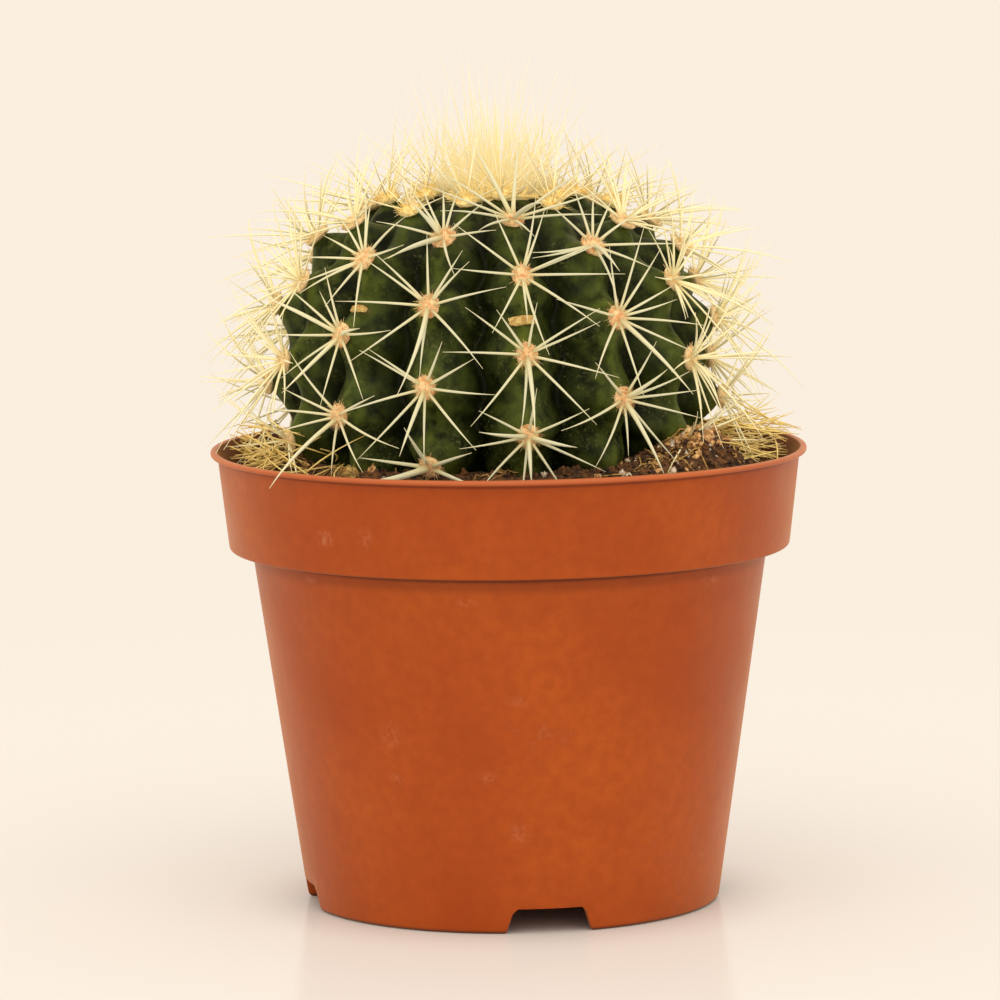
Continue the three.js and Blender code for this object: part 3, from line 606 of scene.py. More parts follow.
@dataclass(frozen=True)
class PotPlastic:
    """Moulded terracotta-coloured plastic: faint clouds, rubbed spots, painted shade in its creases and on
    its inner wall, a painted highlight on its lip.

    A smudge has a centre, half sizes and a strength. A light band has a height, a half width,
    a strength and a colour; the bands are painted shade and painted light.
    """

    base: Rgb = srgb(177, 81, 18)
    deep: Rgb = srgb(157, 63, 9)
    blotch: Rgb = srgb(150, 61, 11)
    scuff: Rgb = srgb(204, 134, 100)
    # painted shade colour for the pot's inner wall
    inner_wall_shade: Rgb = srgb(70, 20, 2)
    dust: Rgb = srgb(196, 150, 118)
    sheen: Rgb = srgb(255, 186, 106)
    # painted shade colour for the bands under the collar, under the lip and round the foot
    painted_shade: Rgb = srgb(70, 26, 6)
    smudges: tuple[tuple[Rgb, Rgb, float], ...] = (
        ((-36.3, -44.8, 79.1), (3.0, 4.0, 2.4), 0.75),
        ((-28, -50, 80), (2.2, 4.0, 4.0), 0.4),
        ((-39, -33, 69.8), (2.2, 4.0, 1.4), 0.6),
        ((-8.5, -51, 67), (3.2, 4.0, 1.2), 0.5),
        ((39.2, -33, 68.5), (3.4, 5.0, 1.6), 0.55),
        ((-24, -42, 39.3), (3.4, 5.0, 4.0), 0.4),
        ((-22.8, -40, 31), (2.0, 4.0, 2.0), 0.45),
        ((-4.9, -46, 31.8), (2.6, 4.0, 2.0), 0.35),
        ((1.2, -45, 20.5), (3.0, 4.0, 3.4), 0.4),
        ((1.2, -48, 47.3), (3.0, 4.0, 1.6), 0.3),
        ((30, 42, 40), (4.0, 5.0, 6.0), 0.4),
        ((-40, 22, 52), (5.0, 6.0, 4.0), 0.35),
    )
    light_bands: tuple[tuple[float, float, float, Rgb], ...] = (
        # painted light: a lighter band below the collar that offsets its shade
        (69.4, 5.0, 0.14, srgb(202, 92, 22)),
        # painted soft shade on the body under the collar's step
        (70.0, 1.8, 0.24, srgb(96, 38, 8)),
        # painted shadow line under the collar
        (71.5, 1.0, 0.8, painted_shade),
        # painted shade under the lip
        (90.4, 0.45, 0.45, painted_shade),
        # painted contact shade round the foot's lower edge
        (0.0, 0.95, 0.92, painted_shade),
        # painted highlight along the lip's top
        (91.5, 1.0, 0.35, srgb(226, 138, 94)),
    )

    def material(self, shelf: EffectShelf) -> Material:
        """Makes the material.

        Args:
            shelf: the shared effects.

        Returns:
            The material.
        """
        recipe = Recipe("pot_plastic", shelf)
        colour = recipe.ramp(recipe.mottle(28, 0.2), (0, self.deep), (1, self.base))
        colour = recipe.tint(colour, recipe.mottle(420, 0.16), 0.45, self.blotch)
        marks = recipe.effect(Effect.SCUFF, patch_scale=38, mark_scale=420, coverage=0.3)
        colour = recipe.tint(colour, marks, 0.12, self.scuff)
        for centre, size, strength in self.smudges:
            middle, reach = ([value * MM for value in triple] for triple in (centre, size))
            spot = recipe.effect(Effect.SMUDGE, centre=middle, size=reach, break_scale=900)
            colour = recipe.tint(colour, spot, 0.6 * strength, self.scuff)
        # painted shade and painted light, each a band at one height
        for height, width, strength, over in self.light_bands:
            line = recipe.effect(Effect.LINE, height=height * MM, width=width * MM)
            colour = recipe.tint(colour, line, strength, over)
        # faces turned towards the axis, the pot's inner wall, get painted shade and a rougher finish
        inner_wall_shade = recipe.effect(Effect.INWARD, amount=0.9)
        colour = recipe.mix(inner_wall_shade, colour, self.inner_wall_shade)
        colour = recipe.mix(recipe.effect(Effect.SETTLED, scale=900, amount=0.12), colour, self.dust)
        satin = recipe.remap(recipe.mottle(70, 0.25), (0, 1), (0.35, 0.47))
        feeds = {
            "Base Color": colour,
            "Roughness": recipe.clamped("MAXIMUM", satin, inner_wall_shade),
            "Specular IOR Level": 0.2,
            "Sheen Weight": 0.3,
            "Sheen Roughness": 0.4,
            "Sheen Tint": self.sheen,
        }
        material = recipe.finish(2200, 0.03, feeds)
        recipe.bump(recipe.mottle(90, 0.3), 0.05)
        return material


@dataclass(frozen=True)
class StemSkin:
    """Waxy green skin: grooves painted near-black as painted shade, crests lighter with a painted highlight,
    bluish bloom that also stands for painted sheen, and corky creases.
    """

    # groove, flank, crest and ridge: a ramp from painted shade in the grooves to a painted highlight on the
    # ridges
    groove: Rgb = srgb(12, 14, 3)
    flank: Rgb = srgb(18, 25, 4)
    crest: Rgb = srgb(54, 64, 12)
    ridge_highlight: Rgb = srgb(100, 108, 36)
    shade: Rgb = srgb(15, 20, 4)
    speckle: Rgb = srgb(14, 18, 3)
    # lighter flecks and bluish bloom, laid only on the crests as painted highlight and painted sheen
    fleck_highlight: Rgb = srgb(104, 118, 44)
    bloom: Rgb = srgb(80, 94, 62)
    scar: Rgb = srgb(128, 132, 84)
    cork: Rgb = srgb(206, 160, 104)

    def material(self, shelf: EffectShelf) -> Material:
        """Makes the material.

        Args:
            shelf: the shared effects.

        Returns:
            The material.
        """
        recipe = Recipe("stem_skin", shelf)
        # the crest value steers painted shade in the grooves and painted highlight on the ridges
        height = recipe.value("crest")
        stops = (0, self.groove), (0.48, self.flank), (0.86, self.crest), (1, self.ridge_highlight)
        colour = recipe.ramp(height, *stops)
        patches = recipe.mottle(100, 0.1)
        colour = recipe.tint(colour, patches, 0.8, self.shade)
        colour = recipe.tint(colour, recipe.mottle(720, 0.14), 0.55, self.speckle)
        # flecks and bloom only on the crests: painted highlight, and painted sheen in the bloom
        for scale, spread, strength, over in ((320, 0.14, 0.6, self.fleck_highlight), (140, 0.1, 0.22, self.bloom)):
            crest_highlight_mask = recipe.clamped("MULTIPLY", recipe.mottle(scale, spread), height)
            colour = recipe.tint(colour, crest_highlight_mask, strength, over)
        specks = recipe.effect(Effect.SCUFF, patch_scale=120, mark_scale=1500, coverage=0.42)
        colour = recipe.tint(colour, specks, 0.3, self.scar)
        colour = recipe.mix(recipe.value("cork"), colour, self.cork)
        satin = recipe.remap(patches, (0, 1), (0.4, 0.58))
        feeds = {"Base Color": colour, "Roughness": satin, "Specular IOR Level": 0.08}
        material = recipe.finish(1700, 0.05, feeds)
        recipe.bump(recipe.mottle(380, 0.3), 0.15)
        return material


@dataclass(frozen=True)
class SpineHorn:
    """Horny spine: tinted at the root, paler along its length; every star is painted paler, most of all
    towards the plant's sides, as painted backlight.

    The glow is emission, a painted glow that stands for the light that shines through thin horn.
    """

    name: str
    root: Rgb
    middle: Rgb
    tip: Rgb
    glow: float
    roughness: float = 0.45
    # painted backlight: the pale colour laid over the stars, most at the plant's sides
    pale: Rgb = srgb(251, 239, 188)

    def material(self, shelf: EffectShelf) -> Material:
        """Makes the material.

        Args:
            shelf: the shared effects.

        Returns:
            The material.
        """
        recipe = Recipe(self.name, shelf)
        stops = (0, self.root), (0.3, self.middle), (0.8, self.middle), (1, self.tip)
        age = recipe.mottle(160, 0.2)
        colour = recipe.tint(recipe.ramp(recipe.value("along"), *stops), age, 0.25, self.root)
        # painted backlight paleness
        colour = recipe.mix(recipe.value("pale"), colour, self.pale)
        satin = recipe.remap(age, (0, 1), (self.roughness - 0.06, self.roughness + 0.08))
        # the emission is a painted glow
        feeds = {"Base Color": colour, "Emission Color": colour, "Roughness": satin}
        return recipe.finish(2400, 0.03, feeds | {"Emission Strength": self.glow})


@dataclass(frozen=True)
class Wool:
    """Felted plant wool: short matted fibres in darker and lighter patches, painted paler at the plant's
    sides as painted backlight, with a painted glow where its glow is set.
    """

    name: str
    dark: Rgb
    light: Rgb
    glow: float = 0.0
    # painted backlight colour for the wool of stars towards the sides
    pale: Rgb = srgb(255, 232, 176)

    def material(self, shelf: EffectShelf) -> Material:
        """Makes the material.

        Args:
            shelf: the shared effects.

        Returns:
            The material.
        """
        recipe = Recipe(self.name, shelf)
        tufts = recipe.mottle(900, 0.16)
        # painted backlight: the wool of stars towards the sides is painted paler
        backlit_share = recipe.remap(recipe.value("pale"), (0, 1), (-0.3, 0.8))
        colour = recipe.mix(backlit_share, recipe.ramp(tufts, (0, self.dark), (1, self.light)), self.pale)
        matt = recipe.remap(tufts, (0, 1), (0.78, 0.95))
        # the emission is a painted glow
        feeds = {"Base Color": colour, "Emission Color": colour, "Roughness": matt}
        return recipe.finish(2600, 0.22, feeds | {"Emission Strength": self.glow})


@dataclass(frozen=True)
class Crumb:
    """A dry, rough crumb or fibre of the potting mix."""

    name: str
    dark: Rgb
    light: Rgb
    scale: float

    def material(self, shelf: EffectShelf) -> Material:
        """Makes the material.

        Args:
            shelf: the shared effects.

        Returns:
            The material.
        """
        recipe = Recipe(self.name, shelf)
        clumps = recipe.mottle(self.scale, 0.14)
        colour = recipe.ramp(clumps, (0, self.dark), (1, self.light))
        matt = recipe.remap(clumps, (0, 1), (0.82, 0.97))
        return recipe.finish(self.scale * 2.2, 0.3, {"Base Color": colour, "Roughness": matt})


# The glows are emission, a painted glow standing in for light through thin horn and felt.
MATURE_SPINE = SpineHorn("spine_cream", srgb(188, 177, 124), srgb(187, 192, 168), srgb(190, 188, 154), 0.16)
YOUNG_SPINE = SpineHorn("spine_golden", srgb(250, 230, 156), srgb(249, 239, 196), srgb(250, 244, 218), 0.1)
DRY_SPINE = SpineHorn("spine_straw", srgb(230, 190, 100), srgb(255, 230, 146), srgb(240, 206, 120), 0.0, 0.6)
AREOLE_WOOL = Wool("areole_wool", srgb(216, 154, 94), srgb(252, 222, 168))
CROWN_WOOL = Wool("crown_wool", srgb(250, 212, 124), srgb(252, 235, 170), 0.12)
PEAT = Crumb("peat", srgb(40, 22, 8), srgb(120, 80, 42), 700)
PERLITE = Crumb("perlite", srgb(186, 164, 136), srgb(232, 218, 196), 1200)
BARK = Crumb("bark_chips", srgb(160, 106, 56), srgb(250, 204, 140), 900)
ROOTLET = Crumb("rootlets", srgb(146, 110, 52), srgb(212, 172, 96), 1200)
CORK = Crumb("cork_scab", srgb(184, 140, 72), srgb(226, 200, 126), 800)


# ------------------------------------------------------------------ the plant's form


@dataclass(frozen=True)
class StemForm:
    """The stem's drawing: a ribbed round body and the sites of its areoles."""

    centre_x: float = -2.5
    radius: float = 44.6
    equator: float = 102.5
    crown_rise: float = 40
    crown_exponent: float = 2.8
    base_drop: float = 27
    base_exponent: float = 2.2
    bottom: float = 78
    groove_depth: float = 9.5
    ribs: int = 15
    first_azimuth: float = 8
    front_spread: float = 3.5
    pitch: float = 15.7
    first_arc: float = 58.6
    rib_step: float = -0.4
    seat: float = 0.8
    table: Array = field(init=False, repr=False)

    def __post_init__(self) -> None:
        """Tabulates the crest line: radius, height and arc length from the crown."""
        lowest = math.asin((self.equator - self.bottom) / self.base_drop)
        turn = np.linspace(0, math.pi / 2 + lowest, 401)
        above = turn <= math.pi / 2
        exponent = np.where(above, self.crown_exponent, self.base_exponent)
        rise = np.where(above, self.crown_rise, -self.base_drop)
        r = self.radius * np.abs(np.sin(turn)) ** (2 / exponent)
        z = self.equator + rise * np.abs(np.cos(turn)) ** (2 / exponent)
        arc = np.concatenate([[0], np.cumsum(np.hypot(np.diff(r), np.diff(z)))])
        object.__setattr__(self, "table", np.stack([r, z, arc]))

    @property
    def top(self) -> float:
        """Height of the growing point."""
        return self.equator + self.crown_rise

    @property
    def length(self) -> float:
        """Arc length of the crest line from the crown to the base."""
        return float(self.table[2][-1])

    def crest(self, arc: Array | float) -> tuple[Array, Array, Array, Array]:
        """Points of the crest line and their outward normals.

        Args:
            arc: arc lengths from the crown.

        Returns:
            Radius, height, and the normal's radial and upward parts.
        """
        r_all, z_all, arc_all = self.table
        step = 0.6
        ahead, behind = np.clip(arc + step, 0, self.length), np.clip(arc - step, 0, self.length)
        dr, dz = (
            np.interp(ahead, arc_all, line) - np.interp(behind, arc_all, line) for line in (r_all, z_all)
        )
        size = np.hypot(dr, dz)
        return np.interp(arc, arc_all, r_all), np.interp(arc, arc_all, z_all), -dz / size, dr / size

    def azimuth(self, rib: Array | float) -> Array | float:
        """Azimuth in radians, from the front towards +X, of ribs or points between them."""
        turn = np.radians(rib * 360 / self.ribs)
        return np.radians(self.first_azimuth + self.front_spread * np.sin(turn)) + turn

    def areole_arc(self, rib: Array | float, row: int) -> Array | float:
        """Arc length of a rib's areole in a row, row 0 being nearest the crown."""
        share = (self.rib_step * rib + 1e-6) % 1.0
        return self.first_arc + (share + row - 3) * self.pitch

    def site(self, rib: int, row: int) -> Matrix:
        """The frame of an areole, by its rib's number from 0 and its row."""
        return self.site_at(rib, self.areole_arc(rib, row), self.seat)

    def site_at(self, rib: int, arc: float, seat: float) -> Matrix:
        """The frame of a place on a crest, in millimetres: +Z out of the skin, +Y to the crown.

        Args:
            rib: the rib's number from 0.
            arc: arc length from the crown.
            seat: how far the frame stands off the crest line.

        Returns:
            The frame's matrix.
        """
        r, z, out, up = (float(part) for part in self.crest(arc))
        spot = Matrix.Translation((0, -(r + seat * out), z + seat * up))
        tilt = Matrix.Rotation(math.atan2(out, up), 4, "X")
        turn = Matrix.Rotation(float(self.azimuth(rib)), 4, "Z")
        return Matrix.Translation((self.centre_x, 0, 0)) @ turn @ spot @ tilt

    def section_radius(self, azimuth: Array | float, height: float) -> Array:
        """Rough radius of the ribbed section at a height below the equator.

        Args:
            azimuth: azimuths in radians round the stem's axis.
            height: the height.

        Returns:
            The radius at each azimuth.
        """
        ribs = np.linspace(0, self.ribs, self.ribs * 20 + 1)
        turn = 2 * math.pi
        rib = np.interp(azimuth % turn, self.azimuth(ribs) % turn, ribs, period=turn)
        away = np.abs(rib - np.round(rib)) * 2
        drop = min(abs(self.equator - height) / self.base_drop, 0.99)
        crest = self.radius * (1 - drop**self.base_exponent) ** (1 / self.base_exponent)
        return crest - 0.8 * self.groove_depth * away**1.6


@dataclass
class Stem:
    """The ribbed body of the plant.

    Each cork scab has a rib, an arc length and a width; each dead areole a rib and an arc length.
    """

    form: StemForm
    columns_per_rib: int = 20
    rows: int = 168
    swell: float = 0.4
    waist: float = 2.7
    zigzag: float = 0.03
    corks: tuple[tuple[int, float, float], ...] = (
        (0, 51.2, 1),
        (13, 49.4, 0.75),
        (4, 56, 0.9),
        (7, 60, 1),
        (10, 66, 1),
    )
    cork_size: tuple[float, float, float] = (5.4, 1.9, 0.9)
    dead: tuple[tuple[int, float], ...] = ((13, 83.0), (1, 84.5), (6, 83.5))
    dead_seed: int = 31

    def skin(self, rib: Array, arc: Array) -> dict[str, Array]:
        """How far the skin sinks below the crest surface, with its point values.

        Args:
            rib: rib coordinate of each point, whole numbers on the crests.
            arc: arc length of each point.

        Returns:
            Arrays named sink, crest and cork.
        """
        form = self.form
        left = np.floor(rib)

        def beat(number: Array) -> Array:
            """Cosine that is 1 at each areole of a rib."""
            return np.cos(2 * math.pi * (arc - form.areole_arc(number % form.ribs, 0)) / form.pitch)

        shift = self.zigzag * (beat(left) - beat(left + 1)) * smoothstep(arc, 14, 34)
        share, middle = rib - left, 0.5 + shift
        eased = np.where(share < middle, 0.5 * share / middle, 1 - 0.5 * (1 - share) / (1 - middle))
        nearest = np.where(eased < 0.5, left, left + 1)
        away = np.where(eased < 0.5, eased, 1 - eased) * 2
        near = np.clip(1 - away, 0, 1)
        open_share = smoothstep(arc, 3, 48)
        buried = 1 - 0.5 * smoothstep(arc, 84, form.length)
        groove = form.groove_depth * open_share * buried * (0.45 * away**1.1 + 0.55 * away**1.9)
        pulse = beat(nearest)
        fade = smoothstep(arc, 6, 20)
        swell = self.swell * fade * near**1.2 * (pulse + 0.25 * pulse**2)
        waist = self.waist * fade * near**0.8 * (1 - pulse) / 2
        sink = groove - swell + waist * (1 - smoothstep(arc, 76, 86))
        cork = np.zeros_like(sink)
        for number, where, wide in self.corks:
            on_rib = (nearest % form.ribs) == number
            across = away / (0.3 * wide)
            along = (arc - where + 0.25 * np.cos(away * 11)) / 0.55
            spot = np.exp(-(across**4) - along**2) * on_rib
            lip = np.exp(-(across**2) - ((arc - where - 1.3) / 0.8) ** 2) * on_rib
            cork = np.maximum(cork, 0.5 * spot)
            sink = sink + 0.35 * lip - 0.15 * spot
        # the crest value drives the skin's painted shade and painted highlight, lifted near each areole
        crest = near * (0.6 + 0.4 * open_share) + 0.12 * pulse * (1 - away)
        return {"sink": sink, "crest": np.clip(crest, 0, 1), "cork": np.clip(1.3 * cork, 0, 1)}

    def _scabs(self, builder: MeshBuilder) -> None:
        """Adds the corky scabs that cross some crests, and the dead areoles.

        Args:
            builder: the mesh that they join.
        """
        ball, faces = icosphere(3)
        for number, (rib, arc, wide) in enumerate(self.corks):
            sink = float(self.skin(np.array([float(rib)]), np.array([arc]))["sink"][0])
            lumps = 1 + 0.16 * field_noise(ball, 0.5, number * 3.1) + 0.1 * field_noise(ball, 0.18, number)
            squared = np.sign(ball) * np.abs(ball) ** (0.55, 0.6, 1.0)
            shape = squared * lumps[:, None] * np.array(self.cork_size) * wide / 2
            shape[:, 2] -= 0.09 * shape[:, 0] ** 2
            shape[:, 1] += 0.12 * np.sin(shape[:, 0] * 1.1 + number)
            builder.add(transform(self.form.site_at(rib, arc, 0.1 - sink), shape), faces, 1)
        cushion = WoolCushion(4.2, 3.4, 2.6, base=-0.8, fibres=110, fibre_length=1.2)
        for number, (rib, arc) in enumerate(self.dead):
            site = self.form.site_at(rib, arc, self.form.seat)
            cushion.add(builder, site, np.random.default_rng(self.dead_seed + number), 1)

    def build(self, materials: Sequence[Material]) -> Piece:
        """Builds and places the stem.

        Args:
            materials: the skin and the cork.

        Returns:
            The piece.
        """
        form = self.form
        columns = form.ribs * self.columns_per_rib
        arcs = 0.8 + (form.length - 0.8) * np.linspace(0, 1, self.rows) ** 0.95
        ribs, arcs = np.meshgrid(np.arange(columns) / self.columns_per_rib, arcs)
        values = self.skin(ribs, arcs)
        r, z, out, up = form.crest(arcs)
        azimuth = form.azimuth(ribs)
        flat = around(r, azimuth, z).reshape(-1, 3)
        lumps = 0.22 * field_noise(flat, 5.0) + 0.12 * field_noise(flat, 1.9, 7.3)
        sink = values.pop("sink") + lumps.reshape(r.shape)
        r, z = r - sink * out, np.maximum(z - sink * up, form.bottom)
        points = around(r, azimuth, z).reshape(-1, 3) + (form.centre_x, 0, 0)
        heights = points[:columns, 2].max(), form.bottom
        points = np.concatenate([points, [[form.centre_x, 0, height] for height in heights]])
        values = {name: np.append(value, [0.0, 0.0]) for name, value in values.items()}
        builder = MeshBuilder()
        builder.add(points, closed_faces(self.rows, columns, turned=True), **values)
        self._scabs(builder)
        return place(builder.build("stem_body", materials), "stem_skin", "stem")


# ------------------------------------------------------------------ spines and wool


@dataclass(frozen=True)
class SpineGrowth:
    """How a spine is drawn between its root and its tip."""

    radius: float
    sides: int = 6
    steps: int = 9
    tip_radius: float = 0.05
    bulb: float = 0.15
    taper: float = 2.3

    def add(self, builder: MeshBuilder, root: Array, tip: Array, bow: Array) -> None:
        """Adds one spine in the builder's first material.

        Args:
            builder: the mesh that it joins.
            root: where it starts.
            tip: where it ends.
            bow: sideways bulge of its middle.
        """
        share = np.linspace(0, 1, self.steps)
        radii = self.radius * (1 - share**self.taper) * (1 + self.bulb * np.exp(-share * 12))
        path = bowed_path(root, tip, bow, self.steps)
        builder.add_tube(path, np.maximum(radii, self.tip_radius), self.sides)


@dataclass(frozen=True)
class WoolCushion:
    """A lumpy pad of felted wool with short fibres standing out of it."""

    width: float
    height: float
    thickness: float
    base: float
    fibres: int
    fibre_length: float = 0.8

    def add(self, builder: MeshBuilder, site: Matrix, rng: Rng, material: int) -> None:
        """Adds the cushion.

        Args:
            builder: the mesh that it joins.
            site: the areole's frame.
            rng: the source of its small differences.
            material: index of its material slot.
        """
        ball, faces = icosphere(3)
        seed = float(rng.uniform(0, 50))
        lumps = 1 + 0.1 * field_noise(ball, 0.55, seed) + 0.08 * field_noise(ball, 0.2, seed + 9)
        size = np.array([self.width, self.height, self.thickness]) / 2
        middle = np.array([0, 0, self.base + self.thickness / 2])
        builder.add(transform(site, ball * lumps[:, None] * size + middle), faces, material, along=0.3)
        for _ in range(self.fibres):
            outward = rng.normal(size=3)
            outward[2] = abs(outward[2]) * 0.8
            outward = unit(outward)
            start = outward * size * 0.85 + middle
            lean = rng.normal(scale=0.45, size=3)
            end = start + (outward + lean) * self.fibre_length * rng.uniform(0.6, 1.2)
            path = transform(site, bowed_path(start, end, lean * 0.12, 3))
            builder.add_tube(path, np.array([0.075, 0.06, 0.03]), 3, material)


# Areoles whose spines are stouter than the rest, and by how much.
STOUT: dict[str, float] = {"areole_15_4": 1.4}

# Long spines that lean over the pot's rim: the areole and where its tip ends.
LONG_SPINES: dict[str, tuple[float, float, float]] = {"areole_14_3": (-46.5, -47.0, 89.4)}


@dataclass
class AreoleStar:
    """One areole: a woolly cushion and the star of spines that its solid marks out."""

    node: str
    site: Matrix
    width: float
    height: float
    girth: float
    central_girth: float
    # share of painted backlight paleness
    pale: float
    extra: int
    sunk: float = 1.0
    radial: SpineGrowth = SpineGrowth(radius=0.29)
    central: SpineGrowth = SpineGrowth(radius=0.47)
    central_lift: float = 0.5
    central_foot: float = 0.12
    radial_foot: float = 0.28
    central_arch: float = 0.05
    radial_arch: float = 0.015
    wander: float = 0.012
    extra_lift: tuple[float, float] = (14, 60)
    extra_length: tuple[float, float] = (11, 19)
    extra_above: float = 98

    def tips(self) -> Array:
        """Finds the tips of the solid's needles: its points far from the cushion.

        Returns:
            The tips in millimetres, one row each.
        """
        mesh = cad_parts[self.node].data
        points = np.array([vertex.co for vertex in mesh.vertices]) / MM
        centre = transform(self.site, np.array([[0.0, 0.0, 1.2]]))
        far = points[np.linalg.norm(points - centre, axis=1) > 5]
        return np.unique(np.round(far, 2), axis=0)

    def _spine(self, builder: MeshBuilder, tip: Array, rng: Rng) -> None:
        """Adds one spine.

        Args:
            builder: the mesh that it joins.
            tip: where it ends, in the areole's own frame.
            rng: the source of its small differences.
        """
        flat = tip * (1, 1, 0)
        reach = max(float(np.linalg.norm(flat)), 0.1)
        is_central = math.atan2(tip[2], reach) > self.central_lift
        foot = self.central_foot if is_central else self.radial_foot
        root = flat / reach * (foot * self.width, foot * self.height, 0) + (0, 0, 0.55)
        length = float(np.linalg.norm(tip - root))
        arch = self.central_arch if is_central else self.radial_arch
        bow = np.array([0, 0, arch * length]) + rng.normal(scale=self.wander * length, size=3)
        start, end, middle = transform(self.site, np.stack([root, tip, (root + tip) / 2 + bow]))
        growth, girth = (self.central, self.central_girth) if is_central else (self.radial, self.girth)
        growth = replace(growth, radius=growth.radius * girth)
        growth.add(builder, start, end, middle - (start + end) / 2)

    def build(self, materials: Sequence[Material], rng: Rng) -> Piece:
        """Builds and places the cluster.

        Args:
            materials: the horn and the wool.
            rng: the source of its small differences.

        Returns:
            The piece.
        """
        builder = MeshBuilder()
        cushion = WoolCushion(self.width, self.height, 2.0, base=-self.sunk, fibres=110)
        cushion.add(builder, self.site, rng, 1)
        inverse = self.site.inverted()
        tips = self.tips()
        if self.node in LONG_SPINES:
            reach = np.array(LONG_SPINES[self.node])
            tips[np.argmin(np.linalg.norm(tips - reach, axis=1))] = reach
        for tip in tips:
            self._spine(builder, transform(inverse, tip[None])[0], rng)
        for _ in range(self.extra):
            turn, lift = rng.uniform(0, 2 * math.pi), math.radians(rng.uniform(*self.extra_lift))
            way = (math.cos(turn) * math.cos(lift), math.sin(turn) * math.cos(lift), math.sin(lift))
            tip = np.array(way) * rng.uniform(*self.extra_length)
            if transform(self.site, tip[None])[0][2] > self.extra_above:
                self._spine(builder, tip, rng)
        # the star's share of painted backlight paleness, stored on its points
        builder.values["pale"] = [np.full(builder.count, self.pale)]
        star = builder.build(self.node.replace("areole", "spine_star"), materials)
        return place(star, "areole_spines", self.node)


@dataclass
class Crown:
    """The growing point: golden felt, an upright tuft and the ring of young areoles."""

    form: StemForm
    felt: tuple[float, float, float] = (9.8, 9.8, 2.4)
    hairs: int = 520
    tuft: int = 230
    tuft_radius: float = 8.6
    tuft_length: tuple[float, float] = (9, 20)
    tall: int = 34
    tall_length: tuple[float, float] = (21, 28.5)
    young_spines: int = 8
    young_length: tuple[float, float] = (13, 21.5)
    hair: SpineGrowth = SpineGrowth(radius=0.09, sides=3, steps=4, tip_radius=0.03)
    growth: SpineGrowth = SpineGrowth(radius=0.1, sides=4, steps=7, tip_radius=0.03)
    young: SpineGrowth = SpineGrowth(radius=0.15, sides=5, steps=7, tip_radius=0.03)
    cushion: WoolCushion = WoolCushion(4.2, 4.6, 2.2, base=-0.9, fibres=120, fibre_length=1.5)

    def _felt(self, builder: MeshBuilder, rng: Rng) -> None:
        """Adds the dome of felt on the growing point and the short hairs that cover it.

        Args:
            builder: the mesh that they join.
            rng: the source of their small differences.
        """
        middle = self.form.centre_x, 0, self.form.top
        ball, faces = icosphere(4)
        lumps = 1 + 0.1 * field_noise(ball, 0.3)
        builder.add(ball * lumps[:, None] * self.felt + middle, faces, 1, along=0.2)
        for _ in range(self.hairs):
            outward = rng.normal(size=3) * (1, 1, 0.45)
            outward[2] = abs(outward[2])
            outward = unit(outward)
            root = outward * self.felt * 0.95 + middle
            way = outward * (0.8, 0.8, 0) + rng.normal(scale=0.3, size=3) + (0, 0, 0.9)
            way *= rng.uniform(2.5, 6.5) / np.linalg.norm(way)
            self.hair.add(builder, root, root + way, rng.normal(scale=0.2, size=3))

    def _tuft(self, builder: MeshBuilder, rng: Rng) -> None:
        """Adds the upright young spines of the growing point, a few of them much longer.

        Args:
            builder: the mesh that they join.
            rng: the source of their small differences.
        """
        for number in range(self.tuft + self.tall):
            is_tall = number >= self.tuft
            share = math.sqrt(rng.uniform(0, 1) if is_tall else (number + 0.5) / self.tuft)
            azimuth = number * math.pi * (3 - math.sqrt(5)) + rng.normal(scale=0.2)
            side = np.array([math.cos(azimuth), math.sin(azimuth), 0])
            middle = np.array([self.form.centre_x, 0, self.form.top + 1.5 * (1 - share)])
            root = middle + side * share * self.tuft_radius
            lean = math.radians(1 + 23 * share + rng.normal(scale=6))
            length = rng.uniform(*(self.tall_length if is_tall else self.tuft_length))
            length *= 1 if is_tall else 1.08 - 0.25 * share
            tip = root + length * (side * math.sin(lean) + np.array([0, 0, math.cos(lean)]))
            self.growth.add(builder, root, tip, side * rng.normal(scale=0.4))

    def _young_areole(self, builder: MeshBuilder, rib: int, rng: Rng) -> None:
        """Adds one young areole of the ring round the felt.

        Args:
            builder: the mesh that it joins.
            rib: its rib's number from 0.
            rng: the source of its small differences.
        """
        site = self.form.site(rib, 0)
        self.cushion.add(builder, site, rng, 1)
        for number in range(self.young_spines):
            turn = number * 2 * math.pi / self.young_spines + rng.normal(scale=0.15)
            towards_crown = max(math.sin(turn), 0)
            lift = math.radians(38 + 26 * towards_crown + rng.normal(scale=9))
            way = np.array([math.cos(turn) * math.cos(lift), math.sin(turn) * math.cos(lift), math.sin(lift)])
            ends = np.stack([way * 1.5, way * rng.uniform(*self.young_length) + (0, 0, 0.4)])
            self.young.add(builder, *transform(site, ends), rng.normal(scale=0.25, size=3))

    def build(self, materials: Sequence[Material], rng: Rng) -> Piece:
        """Builds and places the crown.

        Args:
            materials: the golden horn and the golden felt.
            rng: the source of its small differences.

        Returns:
            The piece.
        """
        builder = MeshBuilder()
        self._felt(builder, rng)
        self._tuft(builder, rng)
        for rib in range(self.form.ribs):
            self._young_areole(builder, rib, rng)
        return place(builder.build("crown_tuft", materials), "crown_spines", "crown")


# ------------------------------------------------------------------ pot


